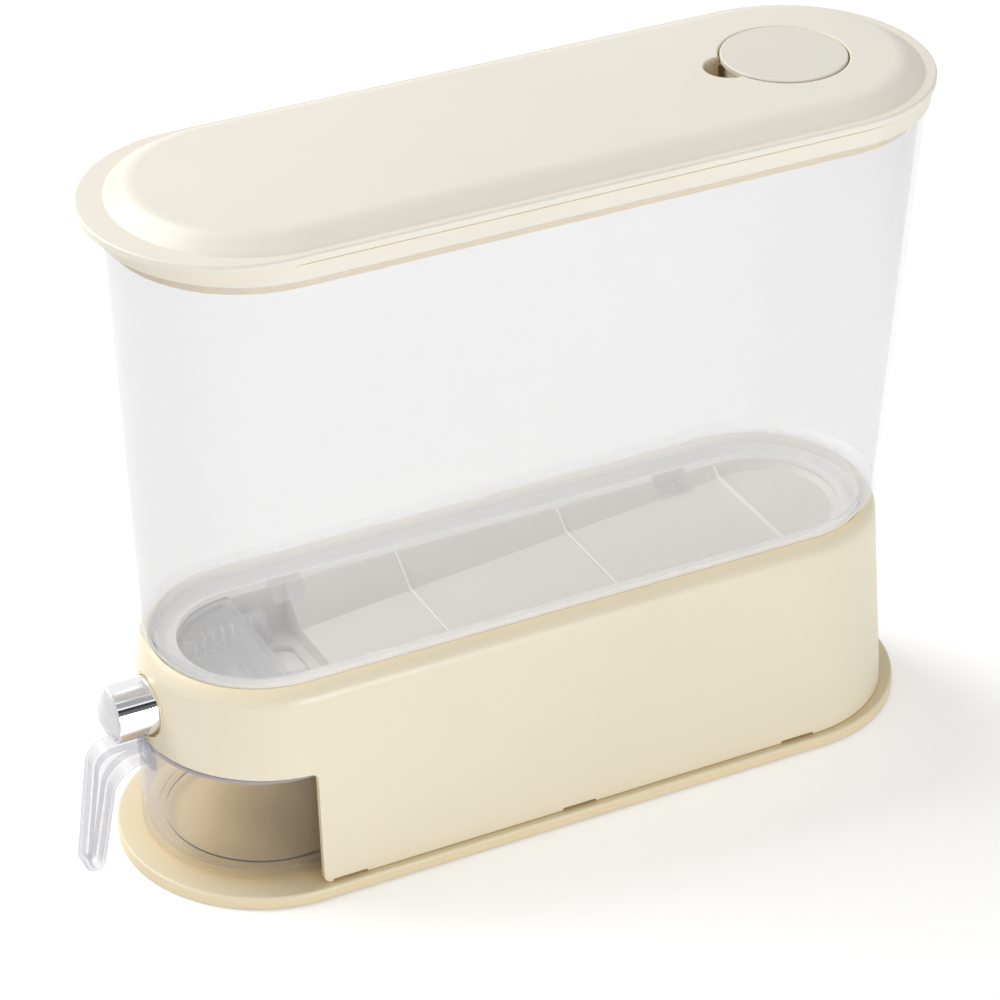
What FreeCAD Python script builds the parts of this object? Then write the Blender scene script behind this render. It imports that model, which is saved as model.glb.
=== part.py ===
"""Countertop rice dispenser: clear bin on a moulded base, push-button gate and pull-out measuring cup.

Millimetres. +Z is up, +Y is the rear, the button and the cup's handle are at -Y and +X is the right side.
Sizes are worked out from the middle of the base plate. The finished pieces then move along Y together, so that
the origin is on the resting plane under the middle of the whole object.
"""
import FreeCAD, Part
import math
import os

V = FreeCAD.Vector
X_AXIS = V(1, 0, 0)
Y_AXIS = V(0, 1, 0)
Z_AXIS = V(0, 0, 1)
SIDES = (-1, 1)
FAR = 400.0                    # half size of the blocks that trim a shape along a plane
PAST = 1.0                     # how far a cutter runs past the face that it opens

# Base plate
base_length = 360.8
base_width = 124.0
base_top = 6.0
base_skin = 2.2
base_rim = 3.0
base_edge_radius = 1.2
base_rib = 1.8
base_rib_pitch = 62.0
base_rib_count = 5

# Rubber pads under the base plate
pad_radius = 8.0
pad_thickness = 2.0
pad_proud = 0.8
pad_from_side = 24.0            # from the base plate's side to the pad's middle
pad_from_end = 52.4
boss_wall = 2.4                # round the pads and the screw holes

# Housing
seam_gap = 0.3                 # gap between the base plate and the housing's lower edge
base_lip_end = 6.1              # how far the base plate stands out past the housing
base_lip_side = 3.2
bay_height = 53.0              # from the base plate to the underside of the front band
band_height = 40.0             # from there to the top of the housing
housing_draft = 4.2            # degrees
housing_wall = 2.4
shoulder_radius = 9.0
cutout_length = 56.3           # the front of the housing is open this far back, below the band
cutout_radius = 3.0
foot_radius = 3.5

# Snap hooks between the base plate and the housing
hook_pitch = 106.4
hook_width = 13.0
hook_thickness = 2.0
hook_height = 9.2
hook_nose = 1.4
hook_nose_height = 2.6
hook_gap = 0.3
catch_height = 2.4
notch_width = 15.6
notch_height = 1.0

# Screws from below into the housing
base_screw_inset = 10.3        # from the housing's side to the screw
base_screw_front = -20.0
base_screw_middle = 53.0
base_screw_from_end = 42.3
base_boss_radius = 4.2
base_boss_height = 26.0
boss_web = 2.4
screw_shank_radius = 1.5
screw_pilot_radius = 1.5
screw_head_radius = 2.8
screw_head_height = 1.6
screw_length = 12.0
screw_socket_depth = 0.9
screw_socket_width = 1.6

# Bin
bin_gap = 0.5                  # clearance between the bin's foot and the housing's opening
bin_foot_inset_end = 11.3      # from the housing's lower edge to the bin's foot
bin_foot_inset_side = 12.8
bin_foot_depth = 7.0           # below the top of the housing
bin_body_rise = 0.5            # above the top of the housing
bin_body_margin_end = 5.0      # how far the body stands out past the foot
bin_body_margin_side = 2.7
bin_body_y = 0.6
bin_flare_length = 18.3        # how much longer the mouth is than the body's lower end
bin_flare_width = 15.6
bin_mouth_y = 2.35
bin_height = 192.0             # from the top of the housing to the bin's mouth
bin_wall = 2.4
bin_floor = 2.6
bin_corner_radius = 7.0
bin_outlet_border_end = 11.0   # the bin's floor round the outlet
bin_outlet_border_side = 12.0

# Snap tongues at the bin's outlet
tongue_width = 15.0
tongue_thickness = 1.4
tongue_length = 11.0
tongue_y = 92.0
tongue_hole_radius = 1.6

# Seal between the bin and the hopper tray
seal_thickness = 1.0
seal_inner_margin = 4.5
seal_outer_margin = 1.5

# Hopper tray
tray_gap = 0.5
tray_flange = 2.2
tray_wall = 2.0
trough_slope = 37.0            # degrees from the horizontal, of the trough's sides
trough_floor_drop = 13.0       # from the tray's top to the front end of the sloping floor
trough_floor_rise = 2.6        # degrees
trough_depth = 15.0
sump_behind_port = 10.0
sump_before_port = 17.0
sump_drop = 20.5               # from the tray's top to the sump's floor
trough_rib_height = 1.0
trough_rib_width = 1.2
trough_rib_gaps = (62.0, 139.0, 217.0)   # from the port to each cross rib
shelf_height = 2.4
shelf_gap = 4.5                # clearance between the trough and the shelf that carries the tray
tray_screw_inset = 1.8         # from the bin's side to the screw
tray_screw_ys = (-60.0, 100.0)
tray_screw_length = 9.0
tray_boss_radius = 3.6
tray_boss_height = 10.0

# Outlet port, gate and chute
port_length = 12.0             # along Y
port_width = 40.0
port_radius = 5.0
port_from_front = 72.3         # from the housing's front end to the port's middle
gate_land = 1.5                # how far the closed gate overlaps the port's front edge
gate_travel = 12.0
gate_thickness = 2.4
gate_gap = 0.5
gate_past_spring = 5.5         # from a spring's axis to the gate's edge
gate_slide_gap = 0.2
gate_rear_margin = 8.0
deck_thickness = 2.0
deck_past_gate = 7.0           # from the gate's edge to the deck's edge
deck_before_port = 44.0
deck_behind_port = 24.0
deck_skirt = 2.0
rail_width = 3.0
rail_gap = 0.4
rail_height = 2.7
chute_wall = 2.0
chute_drop = 0.8
chute_flare = 1.0

# Drawer bay
bay_roof = 2.0
bay_wall = 1.6
bay_gap = 0.3
bay_arc_behind_port = 16.0

# Mechanism guard with its two spring pockets
guard_gap = 0.4
guard_wall = 1.8
guard_lip = 2.5
guard_lip_height = 0.8
pocket_radius = 8.4
pocket_wall = 1.3
pocket_from_side = 9.5         # from the trough's side to a spring's axis
pocket_drop = 9.6              # from the tray's flange down to the pocket's axis
pocket_depth = 13.0
pocket_dot_radius = 1.2
pocket_dot_height = 0.5

# Button, push rod and yoke
button_rise = 16.0             # from the underside of the front band to the button's axis
button_radius = 12.3
button_proud = 10.6            # how far the sleeve stands out of the housing
button_wall = 1.4
button_reach = 15.8            # how far the sleeve reaches into the housing
button_stop_length = 1.6
button_stop_height = 1.0
cap_dome = 4.6
cap_depth = 5.0
cap_gap = 0.1
bush_gap = 0.3
bush_wall = 0.9
bush_setback = 6.3
bush_length = 7.4
bush_seat_gap = 0.1
rod_radius = 4.0
rod_hub_radius = 7.0
rod_hub_length = 3.0
yoke_thickness = 3.5
yoke_before_port = 46.5
yoke_headroom = 3.0
yoke_rib = 2.0
pin_radius = 2.6
pin_length = 12.0
rod_screw_head_radius = 3.4
rod_screw_head_height = 2.0

# Return springs
spring_radius = 5.2            # to the middle of the wire
spring_wire_radius = 0.6
spring_turns = 8
spring_end_gap = 0.05

# Measuring cup
cup_side_gap = 7.8             # from the housing's lower side to the cup
cup_front_gap = 4.7            # from the housing's lower front end to the cup's front
cup_straight = 18.6            # length of the cup's straight sides
cup_bottom_gap = 0.6
cup_rim_gap = 2.0              # clearance under the bay's roof
cup_wall = 2.0
cup_floor = 2.6
cup_foot_radius = 3.0
cup_foot_inset = 7.0
cup_foot_width = 2.2
cup_foot_depth = 1.0
cup_rim_radius = 0.6

# Cup handle: a hook-shaped outline in the X = 0 plane
handle_width = 11.0
handle_thickness = 11.0
handle_border = 2.3
handle_web = 2.4
handle_rise = 4.8              # from the cup's rim to the handle's top
handle_root_drop = 8.0         # from the cup's rim to the lower end of the root
handle_reach = 26.0            # from the cup's front to the handle's front, below the shoulder's bend
handle_shoulder_radius = 11.0
handle_crook_radius = 13.0
handle_lean = 7.2              # degrees from the vertical
handle_tip_rise = 1.5          # from the base plate's top to the middle of the tip
handle_tip_radius = 4.7
handle_edge_radius = 1.8
handle_pad_width = 16.0
handle_pad_thickness = 1.6
handle_housing_gap = 0.8

# Lid
lid_overhang_end = 5.75        # past the bin's mouth
lid_overhang_side = 2.55
lid_rise = 6.1                 # from the bin's mouth to the top of the lid's rim
lid_flange = 3.2
lid_edge_radius = 1.0
lid_wall = 2.2
panel_border_end = 8.25
panel_border_side = 3.35
panel_y = 3.2
panel_height = 5.7
panel_slope = 32.0             # degrees from the horizontal
panel_bend_radius = 10.4

# Lid frame that caps the bin's mouth
frame_groove = 0.8
frame_neck_inset = 1.8
frame_skirt = 1.4
frame_gap = 0.3
frame_skirt_depth = 4.6        # below the bin's mouth
frame_plug_depth = 10.0
frame_plug_wall = 1.8
lid_seal_height = 3.2
lid_seal_depth = 7.4

# Desiccant box in the lid
desiccant_from_rear = 57.55    # from the rear edge of the lid's panel to the box's middle
desiccant_radius = 26.0
desiccant_disc = 2.3
desiccant_rise = 0.3           # how far the disc stands above the lid's panel
desiccant_hole_gap = 0.6
desiccant_hole_edge = 0.7
desiccant_box_wall = 1.5
desiccant_box_depth = 16.0
desiccant_ledge = 2.2
desiccant_ledge_height = 1.4
desiccant_plug_gap = 0.5
desiccant_plug_wall = 1.6
desiccant_plug_depth = 8.0
desiccant_seal = 0.5
desiccant_slot_width = 2.0
desiccant_slot_pitch = 5.0
desiccant_slot_count = 9
notch_radius = 9.9
notch_reach = 26.0             # from the disc's centre to the notch's centre
notch_depth = 9.5
notch_wall = 1.6


def obround_wire(length, width, z, y=0.0):
    """Closed outline with straight long sides and half-round ends, its length along Y."""
    r = width / 2.0
    y0 = y - length / 2.0 + r
    y1 = y + length / 2.0 - r
    right = Part.LineSegment(V(r, y0, z), V(r, y1, z)).toShape()
    rear = Part.Arc(V(r, y1, z), V(0, y1 + r, z), V(-r, y1, z)).toShape()
    left = Part.LineSegment(V(-r, y1, z), V(-r, y0, z)).toShape()
    front = Part.Arc(V(-r, y0, z), V(0, y0 - r, z), V(r, y0, z)).toShape()
    return Part.Wire([right, rear, left, front])


def obround(length, width, bottom, top, y=0.0):
    """Upright obround prism."""
    return Part.Face(obround_wire(length, width, bottom, y)).extrude(V(0, 0, top - bottom))


def obround_taper(low, high):
    """Solid between two obround outlines, each given as (length, width, z, y)."""
    return Part.makeLoft([obround_wire(*low), obround_wire(*high)], True, True)


def box(x0, x1, y0, y1, z0, z1):
    """Block between six planes."""
    return Part.makeBox(x1 - x0, y1 - y0, z1 - z0, V(x0, y0, z0))


def upright(radius, x, y, bottom, top):
    """Cylinder along Z."""
    return Part.makeCylinder(radius, top - bottom, V(x, y, bottom), Z_AXIS)


def along_y(radius, x, z, front, rear):
    """Cylinder along Y."""
    return Part.makeCylinder(radius, rear - front, V(x, front, z), Y_AXIS)


def rounded_slot(width, length, y, bottom, top, radius):
    """Upright block with rounded corners, centred on X = 0."""
    block = box(-width / 2.0, width / 2.0, y - length / 2.0, y + length / 2.0, bottom, top)
    corners = [e for e in block.Edges if abs(e.tangentAt(e.FirstParameter).z) > 0.99]
    return block.makeFillet(radius, corners)


def front_of(y):
    """Everything in front of a plane across the object."""
    return box(-FAR, FAR, -FAR, y, -FAR, FAR)


def edges_at(shape, z):
    """Edges that lie wholly in one level plane."""
    return [e for e in shape.Edges if abs(e.BoundBox.ZMin - z) < 0.01 and abs(e.BoundBox.ZMax - z) < 0.01]


def mirrored(shape):
    """The shape and its copy on the other side of X = 0."""
    return Part.makeCompound([shape, shape.mirror(V(0, 0, 0), X_AXIS)])


# Lengths and widths, from the base plate up
pad_x = base_width / 2.0 - pad_from_side
pad_y = base_length / 2.0 - pad_from_end
housing_length = base_length - 2.0 * base_lip_end
housing_width = base_width - 2.0 * base_lip_side
bin_foot_length = housing_length - 2.0 * bin_foot_inset_end
bin_foot_width = housing_width - 2.0 * bin_foot_inset_side
bin_body_length = bin_foot_length + 2.0 * bin_body_margin_end
bin_body_width = bin_foot_width + 2.0 * bin_body_margin_side
bin_mouth_length = bin_body_length + bin_flare_length
bin_mouth_width = bin_body_width + bin_flare_width
bin_outlet_length = bin_foot_length - 2.0 * bin_outlet_border_end
bin_outlet_width = bin_foot_width - 2.0 * bin_outlet_border_side
opening_length = bin_foot_length + 2.0 * bin_gap
opening_width = bin_foot_width + 2.0 * bin_gap
trough_length = bin_outlet_length
trough_width = bin_outlet_width
pocket_x = trough_width / 2.0 - pocket_from_side
gate_half_width = pocket_x + gate_past_spring
deck_half_width = gate_half_width + deck_past_gate
lid_length = bin_mouth_length + 2.0 * lid_overhang_end
lid_width = bin_mouth_width + 2.0 * lid_overhang_side
panel_length = lid_length - 2.0 * panel_border_end
panel_width = lid_width - 2.0 * panel_border_side
cup_radius = housing_width / 2.0 - cup_side_gap

# Heights, from the resting plane up
plate_bottom = pad_proud
housing_bottom = base_top + seam_gap
band_bottom = base_top + bay_height
housing_top = band_bottom + band_height
roof_bottom = band_bottom
roof_top = roof_bottom + bay_roof
cup_bottom = base_top + cup_bottom_gap
cup_rim = roof_bottom - cup_rim_gap
handle_top = cup_rim + handle_rise
handle_root_bottom = cup_rim - handle_root_drop
handle_tip_z = base_top + handle_tip_rise
button_z = band_bottom + button_rise
bin_foot_bottom = housing_top - bin_foot_depth
bin_body_bottom = housing_top + bin_body_rise
tray_top = bin_foot_bottom - seal_thickness
tray_bottom = tray_top - tray_flange
trough_floor_front = tray_top - trough_floor_drop
sump_floor = tray_top - sump_drop
gate_top = sump_floor - tray_wall - gate_gap
gate_bottom = gate_top - gate_thickness
deck_top = gate_bottom - gate_slide_gap
pocket_z = tray_bottom - pocket_drop
yoke_top = tray_bottom - yoke_headroom
bin_top = housing_top + bin_height
lid_rim_top = bin_top + lid_rise
lid_flange_bottom = lid_rim_top - lid_flange
frame_skirt_bottom = bin_top - frame_skirt_depth
frame_plug_bottom = bin_top - frame_plug_depth
lid_seal_bottom = bin_top - lid_seal_depth
panel_top = lid_rim_top + panel_height
panel_underside = panel_top - lid_wall
disc_top = panel_top + desiccant_rise
disc_bottom = disc_top - desiccant_disc

# Places along the object, from the housing's front end
housing_front = -housing_length / 2.0
cutout_y = housing_front + cutout_length
base_screw_x = housing_width / 2.0 - base_screw_inset
base_screw_ys = (base_screw_front, base_screw_middle, housing_length / 2.0 - base_screw_from_end)
tray_screw_x = bin_foot_width / 2.0 - tray_screw_inset
port_y = housing_front + port_from_front
trough_rib_ys = [port_y + gap for gap in trough_rib_gaps]
sump_rear = port_y + sump_behind_port
sump_front = port_y - sump_before_port
gate_window_y = port_y - port_length - gate_land
gate_rear = port_y + port_length / 2.0 + gate_rear_margin
deck_front = port_y - deck_before_port
deck_rear = port_y + deck_behind_port
bay_arc_y = port_y + bay_arc_behind_port
pocket_end = sump_front + pocket_depth
yoke_rear = port_y - yoke_before_port
button_front = housing_front - button_proud
button_rear = housing_front + button_reach
bush_front = housing_front + bush_setback
bush_rear = bush_front + bush_length
cup_front_arc_y = housing_front + cup_front_gap + cup_radius
cup_rear_arc_y = cup_front_arc_y + cup_straight
handle_front = cup_front_arc_y - cup_radius - handle_reach
desiccant_y = panel_y + panel_length / 2.0 - desiccant_from_rear
notch_y = desiccant_y - notch_reach


def housing_inset(z):
    """How far the housing's drafted wall has come in at a height."""
    return (z - housing_bottom) * math.tan(math.radians(housing_draft))


def housing_block(inset, bottom, top):
    """Drafted obround that follows the housing's outside, moved in by an even inset."""
    low = 2.0 * (inset + housing_inset(bottom))
    high = 2.0 * (inset + housing_inset(top))
    return obround_taper((housing_length - low, housing_width - low, bottom, 0.0),
                         (housing_length - high, housing_width - high, top, 0.0))


def bin_outline(z, inset):
    """Length, width, height and centre of the bin's tapered body at a height."""
    t = (z - bin_body_bottom) / (bin_top - bin_body_bottom)
    length = bin_body_length + t * (bin_mouth_length - bin_body_length)
    width = bin_body_width + t * (bin_mouth_width - bin_body_width)
    centre = bin_body_y + t * (bin_mouth_y - bin_body_y)
    return (length - 2.0 * inset, width - 2.0 * inset, z, centre)


def bin_block(inset, bottom, top):
    """Tapered block that follows the bin's outside, moved in by an inset."""
    return obround_taper(bin_outline(bottom, inset), bin_outline(top, inset))


def hook_places():
    """Middles of the snap hooks along one side."""
    return [(i - 1) * hook_pitch for i in range(3)]


def housing_inner_x(z):
    """Half width inside the housing's straight side walls."""
    return housing_width / 2.0 - housing_wall - housing_inset(z)


def base_hook(y):
    """One snap hook of the base plate, on the right side."""
    nose_tip = housing_inner_x(base_top + hook_height) - hook_gap
    outer = nose_tip - hook_nose
    stem = box(outer - hook_thickness, outer, y - hook_width / 2.0, y + hook_width / 2.0,
               base_top - base_skin / 2.0, base_top + hook_height)
    nose_bottom = base_top + hook_height - hook_nose_height
    profile = Part.makePolygon([V(outer, 0, nose_bottom), V(nose_tip, 0, nose_bottom),
                                V(nose_tip, 0, nose_bottom + hook_gap), V(outer, 0, base_top + hook_height),
                                V(outer, 0, nose_bottom)])
    nose = Part.Face(profile).extrude(V(0, hook_width, 0))
    nose.translate(V(0, y - hook_width / 2.0, 0))
    return stem.fuse(nose)


def make_base_plate():
    """Plate with a ribbed hollow underside, pad bosses, screw bosses and six snap hooks."""
    plate = obround(base_length, base_width, plate_bottom, base_top)
    plate = plate.makeFillet(base_edge_radius, edges_at(plate, base_top))
    hollow = obround(base_length - 2.0 * base_rim, base_width - 2.0 * base_rim, plate_bottom, base_top - base_skin)
    hollow = hollow.cut(box(-base_rib / 2.0, base_rib / 2.0, -FAR, FAR, 0, base_top))
    for i in range(base_rib_count):
        y = (i - (base_rib_count - 1) / 2.0) * base_rib_pitch
        hollow = hollow.cut(box(-FAR, FAR, y - base_rib / 2.0, y + base_rib / 2.0, 0, base_top))
    for sx in SIDES:
        for sy in SIDES:
            hollow = hollow.cut(upright(pad_radius + boss_wall, sx * pad_x, sy * pad_y, 0, base_top))
        for y in base_screw_ys:
            hollow = hollow.cut(upright(base_boss_radius + boss_wall, sx * base_screw_x, y, 0, base_top))
    plate = plate.cut(hollow)
    for sx in SIDES:
        for sy in SIDES:
            plate = plate.cut(upright(pad_radius, sx * pad_x, sy * pad_y, 0, pad_thickness))
        for y in base_screw_ys:
            plate = plate.cut(upright(screw_shank_radius, sx * base_screw_x, y, 0, base_top))
            plate = plate.cut(upright(screw_head_radius, sx * base_screw_x, y, 0, plate_bottom + screw_head_height))
    hooks = [base_hook(y) for y in hook_places()]
    hooks += [h.mirror(V(0, 0, 0), X_AXIS) for h in hooks]
    return plate.fuse(hooks).removeSplitter()


def make_foot_pads():
    """Four rubber discs in the base plate's pockets."""
    pads = []
    for sx in SIDES:
        for sy in SIDES:
            pads.append(upright(pad_radius, sx * pad_x, sy * pad_y, 0, pad_thickness))
    return Part.makeCompound(pads)


def screw(x, y, seat, length, up):
    """Pan-head screw with a slotted head; its head's inner face is at seat and its shank runs up or down."""
    sign = 1.0 if up else -1.0
    axis = V(0, 0, sign)
    shank = Part.makeCylinder(screw_shank_radius, length, V(x, y, seat), axis)
    head = Part.makeCylinder(screw_head_radius, screw_head_height, V(x, y, seat), -axis)
    face = seat - sign * screw_head_height
    inner = face + sign * screw_socket_depth
    slot = box(x - screw_head_radius, x + screw_head_radius, y - screw_socket_width / 2.0,
               y + screw_socket_width / 2.0, min(face, inner), max(face, inner))
    return shank.fuse(head).cut(slot)


def make_base_screws():
    """Screws that hold the base plate to the housing."""
    seat = plate_bottom + screw_head_height
    return Part.makeCompound([screw(sx * base_screw_x, y, seat, screw_length, True)
                              for sx in SIDES for y in base_screw_ys])


def housing_catch(y):
    """Inner ledge of the housing that one snap hook latches over, on the right side."""
    nose_bottom = base_top + hook_height - hook_nose_height
    nose_tip = housing_inner_x(base_top + hook_height) - hook_gap
    top = nose_bottom - hook_gap
    return box(nose_tip - hook_nose + hook_gap, housing_inner_x(top) + housing_wall / 2.0,
               y - hook_width / 2.0, y + hook_width / 2.0, top - catch_height, top)


def housing_boss(y):
    """Screw boss with a web to the right side wall."""
    top = housing_bottom + base_boss_height
    boss = upright(base_boss_radius, base_screw_x, y, housing_bottom, top)
    web = box(base_screw_x, FAR, y - boss_web / 2.0, y + boss_web / 2.0, housing_bottom, top)
    boss = boss.fuse(web.common(housing_block(housing_wall / 2.0, housing_bottom, top)))
    return boss.cut(upright(screw_pilot_radius, base_screw_x, y, 0, base_top + screw_length))


def tray_boss(y):
    """Boss under the shelf for one tray screw, on the right side."""
    top = tray_bottom - shelf_height / 2.0
    return upright(tray_boss_radius, tray_screw_x, y, top - tray_boss_height, top)


def make_housing():
    """Drafted shell with a rounded shoulder, bin opening, open front, inner shelf, catches and bosses."""
    shell = housing_block(0.0, housing_bottom, housing_top)
    shell = shell.makeFillet(shoulder_radius, edges_at(shell, housing_top))
    hollow = housing_block(housing_wall, housing_bottom, housing_top - housing_wall)
    hollow = hollow.makeFillet(shoulder_radius - housing_wall, edges_at(hollow, housing_top - housing_wall))
    shell = shell.cut(hollow)
    shell = shell.cut(obround(opening_length, opening_width, tray_bottom, housing_top + PAST))
    shelf = housing_block(housing_wall / 2.0, tray_bottom - shelf_height, tray_bottom)
    shelf_length = trough_length + 2.0 * (tray_wall + shelf_gap)
    shelf_width = trough_width + 2.0 * (tray_wall + shelf_gap)
    shelf = shelf.cut(obround(shelf_length, shelf_width, 0, housing_top))
    extras = [shelf]
    for make, places in ((housing_catch, hook_places()), (housing_boss, base_screw_ys), (tray_boss, tray_screw_ys)):
        for y in places:
            extras.append(make(y))
            extras.append(make(y).mirror(V(0, 0, 0), X_AXIS))
    shell = shell.fuse(extras)
    for sx in SIDES:
        for y in tray_screw_ys:
            bottom = tray_top - tray_screw_length - PAST
            shell = shell.cut(upright(screw_pilot_radius, sx * tray_screw_x, y, bottom, tray_top))
    front = box(-FAR, FAR, -FAR, cutout_y, 0, band_bottom)
    corner = [e for e in front.Edges if abs(e.CenterOfMass.y - cutout_y) < 0.01
              and abs(e.CenterOfMass.z - band_bottom) < 0.01]
    shell = shell.cut(front.makeFillet(cutout_radius, corner))
    toe = box(-FAR, FAR, cutout_y, cutout_y + foot_radius, housing_bottom, housing_bottom + foot_radius)
    round_toe = Part.makeCylinder(foot_radius, 2.0 * FAR, V(-FAR, cutout_y + foot_radius,
                                                            housing_bottom + foot_radius), X_AXIS)
    shell = shell.cut(toe.cut(round_toe))
    for y in hook_places():
        shell = shell.cut(box(-FAR, FAR, y - notch_width / 2.0, y + notch_width / 2.0,
                              housing_bottom, housing_bottom + notch_height))
    hole = button_radius + bush_gap + bush_wall + bush_seat_gap
    shell = shell.cut(along_y(hole, 0, button_z, -FAR, sump_front))
    return shell.removeSplitter()


def make_bay_liner():
    """Roof of the cup's bay and its curved back wall, which stands on the base plate."""
    def radius_at(z):
        return housing_inner_x(z) - bay_gap

    outer = Part.makeCone(radius_at(base_top), radius_at(roof_top), roof_top - base_top, V(0, bay_arc_y, base_top))
    inner = Part.makeCone(radius_at(base_top) - bay_wall, radius_at(roof_bottom) - bay_wall,
                          roof_bottom - base_top, V(0, bay_arc_y, base_top))
    roof = housing_block(housing_wall + bay_gap, roof_bottom, roof_top).common(front_of(bay_arc_y))
    liner = outer.cut(inner).cut(front_of(bay_arc_y)).fuse(roof)
    hole = rounded_slot(port_width + 2.0 * (chute_flare + chute_wall + bay_gap),
                        port_length + 2.0 * (chute_flare + chute_wall + bay_gap),
                        port_y, roof_bottom - PAST, roof_top + PAST, port_radius + chute_wall)
    return liner.cut(hole).removeSplitter()


def make_outlet_chute():
    """Deck that the gate slides on, with a short chute down through the bay's roof."""
    deck = box(-deck_half_width, deck_half_width, deck_front, deck_rear, roof_top, deck_top)
    under = box(-deck_half_width + deck_skirt, deck_half_width - deck_skirt, deck_front + deck_skirt,
                deck_rear - deck_skirt, roof_top, deck_top - deck_thickness)
    deck = deck.cut(under)
    bore = (port_width + 2.0 * chute_flare, port_length + 2.0 * chute_flare)
    tube = rounded_slot(bore[0] + 2.0 * chute_wall, bore[1] + 2.0 * chute_wall, port_y,
                        roof_bottom - chute_drop, deck_top, port_radius + chute_wall)
    passage = rounded_slot(bore[0], bore[1], port_y, roof_bottom - chute_drop - PAST, deck_top + PAST, port_radius)
    return deck.fuse(tube).cut(passage).removeSplitter()


def make_gate_rails():
    """Two rails that guide the gate's edges."""
    inner = gate_half_width + rail_gap
    rail = box(inner, inner + rail_width, deck_front, deck_rear, deck_top, deck_top + rail_height)
    rail = rail.makeChamfer(rail_height / 4.0, [e for e in rail.Edges if abs(e.CenterOfMass.z - deck_top - rail_height)
                                                < 0.01 and abs(e.CenterOfMass.x - inner) < 0.01])
    return mirrored(rail)


def trough_cavity(inset):
    """Space above the sloping floor and between the sloping sides of the trough, moved in by an inset."""
    run = trough_depth / math.tan(math.radians(trough_slope))
    shift = inset / math.sin(math.radians(trough_slope))
    mouth = (trough_length - 2.0 * shift, trough_width - 2.0 * shift, tray_top, 0.0)
    deep = (mouth[0] - 2.0 * run, mouth[1] - 2.0 * run, tray_top - trough_depth, 0.0)
    space = obround_taper(deep, mouth)
    rise = math.tan(math.radians(trough_floor_rise))
    half = trough_length / 2.0
    front_z = trough_floor_front + inset
    rear_z = front_z + rise * (half - sump_rear)
    slope = Part.Face(Part.makePolygon([V(-FAR, sump_rear, front_z), V(-FAR, half, rear_z),
                                        V(-FAR, half, FAR), V(-FAR, sump_rear, FAR),
                                        V(-FAR, sump_rear, front_z)])).extrude(V(2.0 * FAR, 0, 0))
    return space.common(slope)


def make_hopper_tray():
    """Flanged tray: sloping trough with three cross ribs, a sump with the outlet port, and an open front."""
    flange = obround(opening_length - 2.0 * tray_gap, opening_width - 2.0 * tray_gap, tray_bottom, tray_top)
    wall = tray_wall
    half = trough_width / 2.0
    sump = box(-half - wall, half + wall, sump_front, sump_rear + wall, sump_floor - wall, tray_top)
    tray = flange.fuse([trough_cavity(-wall), sump])
    trough = trough_cavity(0.0)
    front_space = obround(trough_length, trough_width, 0, tray_top + PAST)
    tray = tray.cut(trough)
    tray = tray.cut(front_space.common(front_of(sump_front)))
    tray = tray.cut(box(-half, half, sump_front, sump_rear, sump_floor, tray_top))
    tray = tray.cut(rounded_slot(port_width, port_length, port_y, 0, sump_floor + PAST, port_radius))
    hollow = trough_cavity(trough_rib_height)
    for y in trough_rib_ys:
        slab = box(-FAR, FAR, y - trough_rib_width / 2.0, y + trough_rib_width / 2.0, 0, tray_top)
        tray = tray.fuse(trough.common(slab).cut(hollow))
    for sx in SIDES:
        for y in tray_screw_ys:
            tray = tray.cut(upright(screw_shank_radius, sx * tray_screw_x, y, 0, tray_top))
            tray = tray.cut(upright(screw_head_radius, sx * tray_screw_x, y, tray_top - screw_head_height, tray_top))
    return tray.removeSplitter()


def make_tray_screws():
    """Screws that hold the hopper tray to the housing's shelf."""
    seat = tray_top - screw_head_height
    return Part.makeCompound([screw(sx * tray_screw_x, y, seat, tray_screw_length - screw_head_height, False)
                              for sx in SIDES for y in tray_screw_ys])


def make_mechanism_guard():
    """Frosted cover over the button's mechanism, with a rear wall and two spring pockets."""
    roof = obround(trough_length - 2.0 * guard_gap, trough_width - 2.0 * guard_gap, tray_bottom, tray_top)
    lip = obround(trough_length + 2.0 * guard_lip, trough_width + 2.0 * guard_lip, tray_top,
                  tray_top + guard_lip_height)
    cover = roof.fuse(lip).common(front_of(sump_front + guard_wall))
    half = trough_width / 2.0 - guard_gap
    guard = cover.fuse(box(-half, half, sump_front, sump_front + guard_wall, sump_floor, tray_top))
    pockets = []
    hollows = []
    for sx in SIDES:
        pocket = along_y(pocket_radius, sx * pocket_x, pocket_z, sump_front, pocket_end)
        dot = along_y(pocket_dot_radius, sx * pocket_x, pocket_z, pocket_end, pocket_end + pocket_dot_height)
        pockets += [pocket, dot]
        hollows.append(along_y(pocket_radius - pocket_wall, sx * pocket_x, pocket_z, sump_front,
                               pocket_end - pocket_wall))
    return guard.fuse(pockets).cut(hollows).removeSplitter()


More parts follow.
